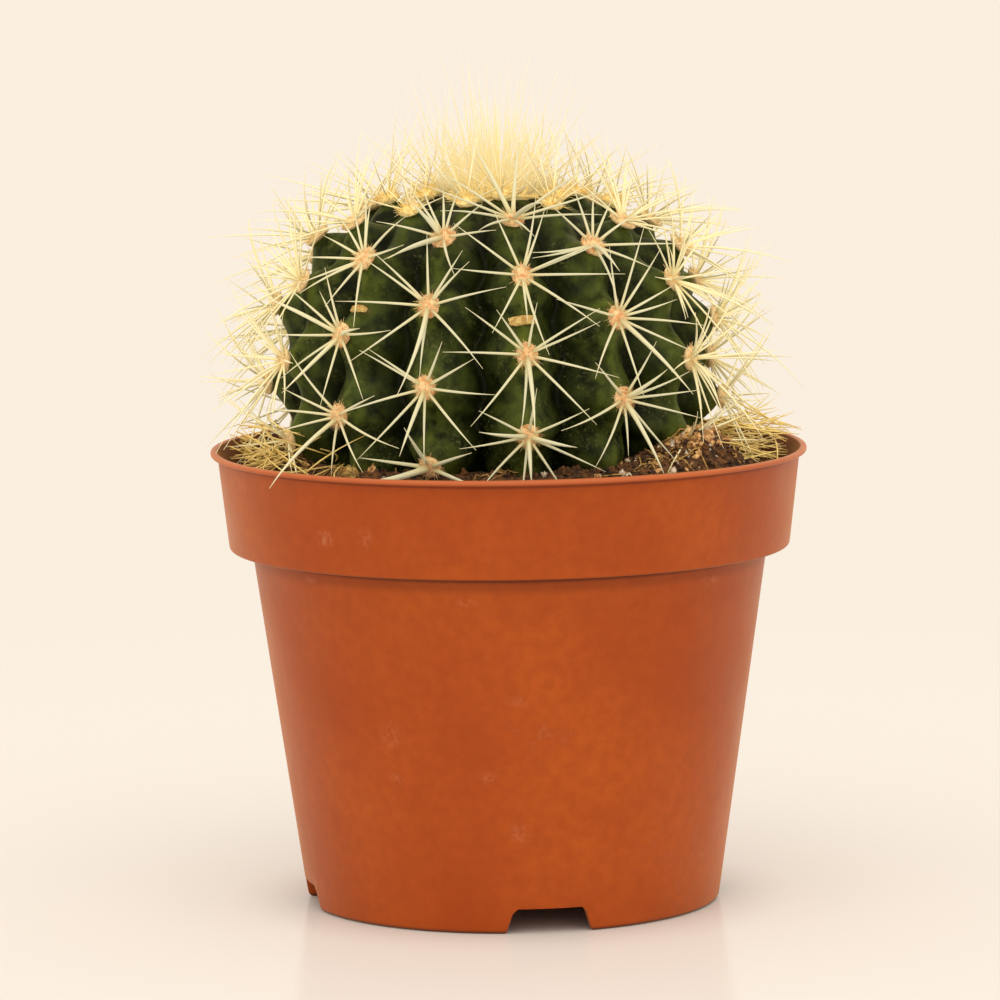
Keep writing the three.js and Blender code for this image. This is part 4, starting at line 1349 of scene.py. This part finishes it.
@dataclass
class Pot:
    """The moulded nursery pot: foot ring, tapered body, stepped collar and rolled lip."""

    height: float = 91.8
    lip_radius: float = 60
    collar_top: float = 58.6
    collar_bottom: float = 56.4
    step: float = 72
    body_top: float = 51.9
    foot_radius: float = 41.6
    foot_inner: float = 39
    wall: float = 1.2
    base_underside: float = 5.2
    base_top: float = 6.6
    ledge_top: float = 73.2
    notch_azimuth: float = 9.7
    notch_height: float = 5.1
    notch_top: float = 14.2
    notch_bottom: float = 17.3
    notch_reach: tuple[float, float] = (-46.0, -30.0)
    drain_radius: float = 3.6
    drain_ring: float = 31
    segments: int = 240
    facet: float = 7
    edge: float = 0.25
    waver: tuple[float, float, float] = (0.16, 0.08, 0.12)

    def inner_radius(self, z: float) -> float:
        """Measures the pot inside.

        Args:
            z: a height above the base plate.

        Returns:
            The inner radius there.
        """
        if z < self.ledge_top:
            return self.foot_radius + (self.body_top - self.foot_radius) * z / self.step - self.wall
        share = (z - self.ledge_top) / (self.height - self.ledge_top)
        return self.collar_bottom + (self.collar_top - self.collar_bottom) * share - self.wall

    def corners(self) -> list[tuple[float, float, float]]:
        """Lists the profile's corners, from the middle underneath to the middle inside.

        Returns:
            Radius, height and the radius that rounds the corner, for each of them.
        """
        under_lip, inside_lip = self.height - 1.05, self.height - 2.6
        return [
            (0, self.base_underside, 0),
            (self.foot_inner - 0.4, self.base_underside, 0.5),
            (self.foot_inner, 0, 0.15),
            (self.foot_radius - 0.05, 0, 1.1),
            (self.body_top, self.step, 0.35),
            (self.collar_bottom, self.step, 0.55),
            (self.collar_top, under_lip, 0.3),
            (self.lip_radius, under_lip, 0.5),
            (self.lip_radius, self.height, 0.7),
            (self.collar_top + 0.1, self.height, 0.5),
            (self.inner_radius(inside_lip), inside_lip, 1.2),
            (self.inner_radius(self.ledge_top), self.ledge_top, 0.8),
            (self.body_top - self.wall, self.ledge_top, 0.8),
            (self.inner_radius(self.base_top), self.base_top, 1.6),
            (0, self.base_top, 0),
        ]

    def profile(self) -> Array:
        """The rounded profile with points close enough for smooth shading.

        Returns:
            Radius and height, one row each.
        """
        corners = self.corners()
        line: list[Array] = []
        for number, (r, z, rounding) in enumerate(corners):
            here = np.array([r, z])
            if rounding == 0:
                line.append(here)
                continue
            ways = (np.array(corners[number + side][:2]) - here for side in (-1, 1))
            start, end = (here + unit(way) * min(rounding, 0.45 * np.linalg.norm(way)) for way in ways)
            for share in np.linspace(0, 1, 5):
                line.append((1 - share) ** 2 * start + 2 * share * (1 - share) * here + share**2 * end)
        dense = [line[0]]
        for point in line[1:]:
            for left in range(max(1, int(np.linalg.norm(point - dense[-1]) // self.facet)), 1, -1):
                dense.append(dense[-1] + (point - dense[-1]) * (1 / left))
            dense.append(point)
        return np.array(dense)

    def _shell(self) -> Piece:
        """Revolves the profile and lets the lip waver slightly, as a thin moulding does.

        Returns:
            The uncut shell.
        """
        profile = self.profile()[1:-1]
        azimuth = np.arange(self.segments) * 2 * math.pi / self.segments
        r, z = (np.repeat(profile[:, [part]], self.segments, 1) for part in (0, 1))
        loose = (z / self.height) ** 3 * (r > 20)
        oval, wave, dip = self.waver
        r = r + loose * (oval * np.sin(2 * azimuth + 0.8) + wave * np.sin(5 * azimuth + 2.0))
        z = z + loose * dip * np.sin(3 * azimuth + 1.1) * (z > 60)
        poles = np.array([[0, 0, self.base_underside], [0, 0, self.base_top]])
        builder = MeshBuilder()
        points = np.concatenate([around(r, azimuth, z).reshape(-1, 3), poles])
        builder.add(points, closed_faces(len(profile), self.segments))
        return builder.build("pot_shell", [])

    def _cutters(self) -> Piece:
        """Makes the wedges and pins that cut the drainage notches and holes.

        Returns:
            All of them as one object.
        """
        builder = MeshBuilder()
        lean = (self.notch_bottom - self.notch_top) / 2 / self.notch_height
        low, high = self.notch_bottom / 2 + lean, self.notch_top / 2
        outline = [(-low, -1.0), (low, -1.0), (high + 0.3, self.notch_height - 1)]
        outline += [(high - 0.7, self.notch_height), (0.7 - high, self.notch_height)]
        outline.append((-high - 0.3, self.notch_height - 1))
        ring = np.array([[x, depth, z] for depth in self.notch_reach for x, z in outline])
        faces: Faces = [tuple(range(6)), tuple(range(11, 5, -1))]
        faces += [(i, i + 6, (i + 1) % 6 + 6, (i + 1) % 6) for i in range(6)]
        pin = np.array([[0, 0, self.base_underside - 2], [0, 0, self.base_top + 2]])
        for number in range(4):
            turn = Matrix.Rotation(math.radians(self.notch_azimuth + 90 * number), 4, "Z")
            builder.add(transform(turn, ring), faces)
            middle = np.array(turn @ Vector((0, -self.drain_ring, 0)))
            builder.add(*tube(pin + middle, np.full(2, self.drain_radius), 32))
        builder.add(*tube(pin, np.full(2, self.drain_radius + 0.4), 32))
        return builder.build("pot_cutters", [])

    def build(self, material: Material) -> Piece:
        """Builds, cuts and places the pot.

        Args:
            material: the plastic.

        Returns:
            The piece.
        """
        shell, cutters = self._shell(), self._cutters()
        cut = shell.modifiers.new("cut", "BOOLEAN")
        cut.operation, cut.solver, cut.object = "DIFFERENCE", "EXACT", cutters
        soften = shell.modifiers.new("soften", "BEVEL")
        soften.width, soften.segments, soften.angle_limit = self.edge * MM, 2, math.radians(50)
        graph = bpy.context.evaluated_depsgraph_get()
        mesh = bpy.data.meshes.new_from_object(shell.evaluated_get(graph))
        shell.modifiers.clear()
        shell.data = mesh
        bpy.data.objects.remove(cutters)
        mesh.materials.clear()
        mesh.materials.append(material)
        return place(shell, "pot_plastic", "pot")


# ------------------------------------------------------------------ soil


class Kind(IntEnum):
    """The kinds of crumb, numbered as the crumbs' material slots."""

    PEAT = 0
    PERLITE = 1
    BARK = 2


@dataclass
class SoilBed:
    """The potting mix: a rough surface with loose crumbs, grit and rootlets.

    Each heap has a centre, a radius and a height. The mixes hold each kind of crumb as
    often as it turns up on the heaps' tops and elsewhere.
    """

    form: StemForm
    pot: Pot
    level: float = 85.2
    bank: float = 5
    bank_fade: float = 6
    bottom: float = 6.9
    columns: int = 220
    rings: int = 56
    heaps: tuple[tuple[float, float, float, float], ...] = (
        (39, -24, 8.5, 10.2),
        (30, -38, 9.5, 4.6),
        (-24, -46, 9, 1.2),
    )
    skirt: float = 89.0
    reach: float = 55.2
    crumbs: int = 2300
    heaped_crumbs: int = 900
    crumb_size: tuple[float, float] = (0.25, 0.75)
    lump_size: tuple[float, float] = (0.7, 1.3)
    heap_top: float = 94.6
    heap_mix: tuple[Kind, ...] = (Kind.PEAT, Kind.PERLITE) + (Kind.BARK,) * 5
    ground_mix: tuple[Kind, ...] = (Kind.PEAT,) * 9 + (Kind.PERLITE, Kind.BARK)
    rootlets: int = 120
    heaped_rootlets: int = 40
    rootlet_reach: float = 55.5
    rootlet_length: tuple[float, float] = (3, 8)
    rootlet_radius: tuple[float, float] = (0.1, 0.2)

    def height(self, x: Array | float, y: Array | float) -> Array:
        """Height of the soil's surface.

        Args:
            x: positions along X.
            y: positions along Y.

        Returns:
            The heights.
        """
        from_stem = np.maximum(np.hypot(x - self.form.centre_x, y) - 41, 0)
        z = self.level + self.bank * np.exp(-from_stem / self.bank_fade)
        z = z + 0.45 * np.sin(0.31 * x + 1.3) * np.sin(0.27 * y + 0.4)
        z = z + 0.3 * np.sin(0.62 * x - 0.55 * y)
        for heap_x, heap_y, radius, rise in self.heaps:
            away = np.hypot(x - heap_x, y - heap_y) / radius
            z = z + rise * np.exp(-away * away)
        return z

    def _surface(self) -> Array:
        """Lays the top of the soil, from under the stem out to the wall, and the block below it.

        Returns:
            The rings of points from the middle outwards and down, then the two end points.
        """
        pot, centre_x = self.pot, self.form.centre_x
        azimuth = np.arange(self.columns) * 2 * math.pi / self.columns
        inner = self.form.section_radius(azimuth, self.skirt)
        wall = pot.inner_radius(self.level) - 0.3
        towards = np.sin(azimuth) * centre_x
        outer = -towards + np.sqrt(towards**2 - centre_x**2 + wall**2)
        share = np.linspace(0, 1, self.rings)[:, None]
        start = np.maximum(inner - 9, 20)
        reach = start + (outer - start) * share
        points = around(reach, azimuth, 0.0) + (centre_x, 0, 0)
        under = np.clip(inner - 0.4 - reach, 0, None)
        points[..., 2] = self.height(points[..., 0], points[..., 1]) - np.minimum(under * 1.5, 11)
        points = points.reshape(-1, 3)
        rough = 0.55 * field_noise(points, 2.6) + 0.35 * field_noise(points, 1.1, 3.0)
        points[:, 2] += rough * smoothstep(reach, 20, 40).ravel()
        for radius, z in (
            (pot.inner_radius(pot.ledge_top) - 0.3, pot.ledge_top + 0.3),
            (pot.body_top - pot.wall - 0.3, pot.ledge_top + 0.3),
            (pot.inner_radius(self.bottom + 1.2) - 0.3, self.bottom + 1.2),
            (pot.inner_radius(self.bottom) - 1.5, self.bottom),
        ):
            points = np.concatenate([points, around(radius, azimuth, z)])
        ends = [[centre_x, 0, self.form.bottom - 0.4], [0, 0, self.bottom]]
        return np.concatenate([points, ends])

    def _open_soil(self, x: float, y: float, gap: float) -> Array | None:
        """The point of the surface at a place, or None where the stem or the wall is.

        Args:
            x: the place along X.
            y: the place along Y.
            gap: least distance from the stem, less than 0 if it may lie under its skirt.

        Returns:
            The point on the surface.
        """
        off_axis = x - self.form.centre_x
        stem = float(self.form.section_radius(math.atan2(off_axis, -y), self.skirt))
        if math.hypot(off_axis, y) < stem + gap or math.hypot(x, y) > self.reach:
            return None
        return np.array([x, y, float(self.height(x, y))])

    def spot(self, rng: Rng) -> Array | None:
        """A random point of the open soil, or None where a draw misses it."""
        azimuth, r = rng.uniform(0, 2 * math.pi), math.sqrt(rng.uniform(30**2, self.reach**2))
        return self._open_soil(r * math.sin(azimuth), -r * math.cos(azimuth), 0.3)

    def heap_spot(self, rng: Rng) -> Array | None:
        """A random point on one of the two largest heaps, or None where a draw misses the soil."""
        heap_x, heap_y, radius, _ = self.heaps[int(rng.integers(2))]
        return self._open_soil(*rng.normal((heap_x, heap_y), radius * 0.6), -0.5)

    def build_bed(self, material: Material) -> Piece:
        """Builds the block of soil.

        Args:
            material: the peat.

        Returns:
            The piece.
        """
        builder = MeshBuilder()
        builder.add(self._surface(), closed_faces(self.rings + 4, self.columns, turned=True))
        return place(builder.build("soil_bed", [material]), "soil_mix", "soil")

    def build_crumbs(self, materials: Sequence[Material], rng: Rng) -> Piece:
        """Scatters crumbs of peat, bark and perlite over the surface.

        Args:
            materials: peat, perlite and bark.
            rng: the source of their places.

        Returns:
            The piece.
        """
        builder = MeshBuilder()
        coarse, fine = icosphere(0), icosphere(1)
        for number in range(self.crumbs + self.heaped_crumbs):
            spot = self.heap_spot(rng) if number < self.heaped_crumbs else self.spot(rng)
            if spot is None:
                continue
            kind = int(rng.choice(self.heap_mix if spot[2] > self.heap_top else self.ground_mix))
            size = rng.uniform(*(self.crumb_size if number % 6 else self.lump_size))
            ball, faces = fine if size > self.lump_size[0] else coarse
            shape = ball * (1 + 0.3 * rng.normal(size=(len(ball), 1))).clip(0.6, 1.5)
            shape = shape * rng.uniform(0.5, 1.0, size=3) * size
            turn = Matrix.Rotation(rng.uniform(0, 6.28), 4, Vector(rng.normal(size=3)))
            builder.add(transform(turn, shape) + spot + (0, 0, 0.2 * size), faces, kind)
        return place(builder.build("soil_crumbs", materials, smooth=False), "soil_mix")

    def build_rootlets(self, material: Material, rng: Rng) -> Piece:
        """Lays fine curled rootlets on the soil, a third of them on the two largest heaps.

        Args:
            material: the rootlets' finish.
            rng: the source of their places.

        Returns:
            The piece.
        """
        builder = MeshBuilder()
        for number in range(self.rootlets):
            if number < self.heaped_rootlets:
                spot = np.array([*self.heaps[number % 2][:2], 0]) + rng.normal(scale=(5.5, 5.5, 0))
                spot[2] = float(self.height(spot[0], spot[1]))
            else:
                spot = self.spot(rng)
            if spot is None:
                continue
            way = unit(rng.normal(size=2))
            reach = np.array([way[0], way[1], 0]) * rng.uniform(*self.rootlet_length) / 2
            path = bowed_path(spot - reach, spot + reach, rng.normal(scale=1.2, size=3) * (1, 1, 0), 6)
            for point in path:
                away = math.hypot(point[0], point[1])
                if away > self.rootlet_reach:
                    point[:2] *= self.rootlet_reach / away
                point[2] = float(self.height(point[0], point[1])) + 0.35
            path[:, 2] += np.abs(rng.normal(scale=0.5, size=6))
            builder.add_tube(path, np.full(6, rng.uniform(*self.rootlet_radius)), 4)
        return place(builder.build("soil_rootlets", [material]), "soil_mix")


@dataclass
class DryBundle:
    """Fallen, dried spines that lie across each other on the soil at one side.

    The last of them, from a share of their number on, lean on the pot's rim.
    """

    node: str
    azimuth: float
    radius: float
    count: int
    pile: float
    lay: float
    fan: float
    leaning_from: float
    base: float
    spread: float = 13
    sector: float = 30
    girth: float = 0.24
    length: tuple[float, float] = (9, 21)
    wall_reach: float = 56.3
    rim_reach: float = 59.3
    rim: float = 91.9

    def build(self, soil: SoilBed, material: Material, rng: Rng) -> Piece:
        """Builds and places the bundle.

        Args:
            soil: the soil that it lies on.
            material: the dry horn.
            rng: the source of its small differences.

        Returns:
            The piece.
        """
        builder = MeshBuilder()
        for number in range(self.count):
            turn_off = float(np.clip(rng.normal(scale=self.spread), -self.sector, self.sector))
            azimuth = math.radians(self.azimuth + turn_off)
            r = self.radius + rng.normal(scale=2.2)
            turn = azimuth + self.lay + rng.normal(scale=self.fan)
            length = rng.uniform(*self.length)
            along = np.linspace(-0.5, 0.5, 41)[:, None] * length
            line = around(r, azimuth, 0.0) + around(1, turn, 0.0) * along
            leaning = number > self.count * self.leaning_from
            off_axis = line[:, 0] - soil.form.centre_x
            stem = soil.form.section_radius(np.arctan2(off_axis, -line[:, 1]), 92.0)
            clear = np.hypot(off_axis, line[:, 1]) > stem + 0.6
            clear &= np.hypot(line[:, 0], line[:, 1]) < (self.rim_reach if leaning else self.wall_reach)
            blocked = np.flatnonzero(~clear)
            first = int(blocked[blocked <= 20].max(initial=-1)) + 1
            last = int(blocked[blocked >= 20].min(initial=41)) - 1
            if last - first < 14:
                continue
            path = bowed_path(line[first], line[last], rng.normal(scale=0.7, size=3), 7)
            ground = max(float(soil.height(path[:, 0], path[:, 1]).mean()), self.base)
            ground = max(ground, self.rim) if leaning else ground
            tilt = rng.normal(scale=0.12) * length
            path[:, 2] = ground + 0.5 + self.pile * number / self.count + np.linspace(-tilt, tilt, 7)
            path[:, 2] += abs(tilt)
            share = np.linspace(0, 1, 7)
            radii = self.girth * (1.1 - share) ** 0.6 * (0.55 + share).clip(0, 1)
            builder.add_tube(path, np.maximum(radii, 0.06), 5)
        bundle = builder.build(self.node.replace("dry_spines", "dry_spine_bundle"), [material])
        return place(bundle, "dry_straw", self.node)


# ------------------------------------------------------------------ studio


@dataclass
class Studio:
    """Pale floor, soft light and the camera."""

    distance: float = 1254.0
    elevation: float = 7.02
    roll: float = -0.673
    lens: float = 224.2
    aim: tuple[float, float, float] = (-1.85, 0.0, 80.84)
    floor_half: float = 6000.0
    floor_white: float = srgb(252, 252, 252)[0]
    floor_gloss: float = 0.45
    gloss_span: tuple[float, float] = (0.08, 0.5)
    floor_shade: float = 0.66
    shade_span: tuple[float, float] = (0.036, 0.06)
    floor_body: float = 0.475
    floor_glow: float = 0.395
    air: Rgb = (1.0, 0.895, 0.767)
    air_strength: float = 0.965
    sun_strength: float = 1.25
    sun_tilt: float = 45.0
    sun_angle: float = 80.0

    def build_floor(self) -> Piece:
        """Lays the floor, darker under the pot and glossier near it.

        Returns:
            The floor.
        """
        material = bpy.data.materials.new("floor_sheet")
        material.use_nodes = True
        sheet = NodeSheet(material.node_tree)

        def grey(share: float) -> Rgb:
            """The floor's white, dimmed."""
            return (self.floor_white * share,) * 3

        gloss = sheet.tree.nodes["Principled BSDF"]
        feeds = {"Base Color": grey(0.92), "Roughness": 0.16, "Specular IOR Level": 0.2}
        for name, value in feeds.items():
            sheet.join(value, gloss.inputs[name])
        away = sheet.math("LENGTH", sheet.node("TexCoord").outputs["Object"], kind="VectorMath")
        shares = self.floor_shade, self.floor_body
        under, matt = (sheet.node("BsdfDiffuse", {"Color": grey(share)}) for share in shares)
        lit = tuple(self.floor_white * part for part in self.air)
        glow = sheet.node("Emission", {"Color": lit, "Strength": self.floor_glow})
        table = sheet.node("AddShader", {0: matt.outputs[0], 1: glow.outputs[0]})
        near = sheet.remap(away, self.shade_span, (0, 1), "SMOOTHSTEP")
        open_floor = sheet.node("MixShader", {0: near, 1: under.outputs[0], 2: table.outputs[0]})
        far = sheet.remap(away, self.gloss_span, (self.floor_gloss, 0), "SMOOTHSTEP")
        blend = sheet.node("MixShader", {0: far, 1: open_floor.outputs[0], 2: gloss.outputs[0]})
        sheet.join(blend.outputs[0], sheet.tree.nodes["Material Output"].inputs["Surface"])
        builder = MeshBuilder()
        corners = np.array([[-1, -1, 0], [1, -1, 0], [1, 1, 0], [-1, 1, 0]]) * self.floor_half
        builder.add(corners, [(0, 1, 2, 3)])
        floor = builder.build("floor", [material])
        return floor

    def build_lights(self) -> None:
        """Hangs the soft panel and fills the air with warm light."""
        scene = bpy.context.scene
        scene.view_settings.view_transform = "Standard"
        scene.world = bpy.data.worlds.new("studio_air")
        scene.world.use_nodes = True
        background = scene.world.node_tree.nodes["Background"]
        background.inputs["Color"].default_value = (*self.air, 1)
        background.inputs["Strength"].default_value = self.air_strength
        lamp = bpy.data.lights.new("sky_panel", "SUN")
        lamp.energy = self.sun_strength
        lamp.angle = math.radians(self.sun_angle)
        lamp.color = self.air
        panel = bpy.data.objects.new("sky_panel", lamp)
        panel.rotation_euler = (math.radians(self.sun_tilt), 0, 0)
        scene.collection.objects.link(panel)

    def build_camera(self) -> Piece:
        """Sets up the camera.

        Returns:
            The camera.
        """
        tilt, roll = math.radians(self.elevation), math.radians(self.roll)
        back = Vector((0, -math.cos(tilt), math.sin(tilt)))
        right = Vector((1, 0, 0))
        up = back.cross(right)
        rolled_right = math.cos(roll) * right + math.sin(roll) * up
        rolled_up = math.cos(roll) * up - math.sin(roll) * right
        axes = Matrix((rolled_right, rolled_up, back)).transposed().to_4x4()
        lens = bpy.data.cameras.new("camera")
        lens.lens, lens.sensor_width, lens.clip_end = self.lens, 36, 50
        camera = bpy.data.objects.new("camera", lens)
        spot = (Vector(self.aim) + back * self.distance) * MM
        camera.matrix_world = Matrix.Translation(spot) @ axes
        bpy.context.scene.collection.objects.link(camera)
        bpy.context.scene.camera = camera
        return camera


# ------------------------------------------------------------------ assembly

# Seeds of the pieces' small differences.
CRUMB_SEED, ROOTLET_SEED, CROWN_SEED, STAR_SEED, DRY_SEED = 11, 12, 21, 100, 200

# Most extra spines of a star at the plant's side, by row.
EXTRA_SPINES = {"1": 6, "2": 12, "3": 12, "4": 0}

DRY_BUNDLES = (
    DryBundle("dry_spines_left", -74, 50.5, 76, 5.0, 0.9, 0.75, leaning_from=0.93, base=0.0),
    DryBundle("dry_spines_right", 91, 49.5, 64, 2.4, 0.1, 0.42, leaning_from=0.55, base=88.8),
)


def report(piece: Piece) -> None:
    """Logs a finished piece with its face count."""
    LOG.info("%s: %d faces", piece.name, len(piece.data.polygons))


def plan_star(node: str, form: StemForm) -> AreoleStar:
    """Plans an areole: towards the sides its spines are thinner and more, and painted paler as painted
    backlight.

    Args:
        node: its CAD node.
        form: the stem's drawing.

    Returns:
        The areole.
    """
    _, rib, row = node.split("_")
    size = 1.0 if row == "1" else 0.88
    side = 1 - float(smoothstep(math.cos(form.azimuth(int(rib) - 1)), 0.42, 0.88))
    stout = STOUT.get(node, 1.0)
    return AreoleStar(
        node,
        form.site(int(rib) - 1, int(row)),
        width=4.8 * size,
        height=5.5 * size,
        girth=(1 - 0.24 * side) * stout,
        central_girth=(1 - 0.5 * side) * stout,
        # painted backlight: paler towards the plant's sides
        pale=0.3 + 0.55 * side,
        extra=int(EXTRA_SPINES[row] * side),
    )


def main() -> None:
    """Builds every piece in order."""
    logging.basicConfig(level=logging.INFO, format="%(message)s")
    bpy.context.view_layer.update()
    shelf, form, studio, pot = EffectShelf(), StemForm(), Studio(), Pot()
    studio.build_floor()
    studio.build_lights()
    studio.build_camera()

    report(pot.build(PotPlastic().material(shelf)))
    peat, rootlet = PEAT.material(shelf), ROOTLET.material(shelf)
    soil = SoilBed(form, pot)
    report(soil.build_bed(peat))
    crumbs = [peat, PERLITE.material(shelf), BARK.material(shelf)]
    report(soil.build_crumbs(crumbs, np.random.default_rng(CRUMB_SEED)))
    report(soil.build_rootlets(rootlet, np.random.default_rng(ROOTLET_SEED)))
    report(Stem(form).build([StemSkin().material(shelf), CORK.material(shelf)]))

    star_materials = [MATURE_SPINE.material(shelf), AREOLE_WOOL.material(shelf)]
    for number, node in enumerate(sorted(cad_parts)):
        if node.startswith("areole_"):
            star = plan_star(node, form)
            report(star.build(star_materials, np.random.default_rng(STAR_SEED + number)))
    crown_materials = [YOUNG_SPINE.material(shelf), CROWN_WOOL.material(shelf)]
    report(Crown(form).build(crown_materials, np.random.default_rng(CROWN_SEED)))

    dry = DRY_SPINE.material(shelf)
    for bundle in DRY_BUNDLES:
        report(bundle.build(soil, dry, np.random.default_rng(DRY_SEED + int(bundle.azimuth))))


if __name__ == "__main__":
    main()
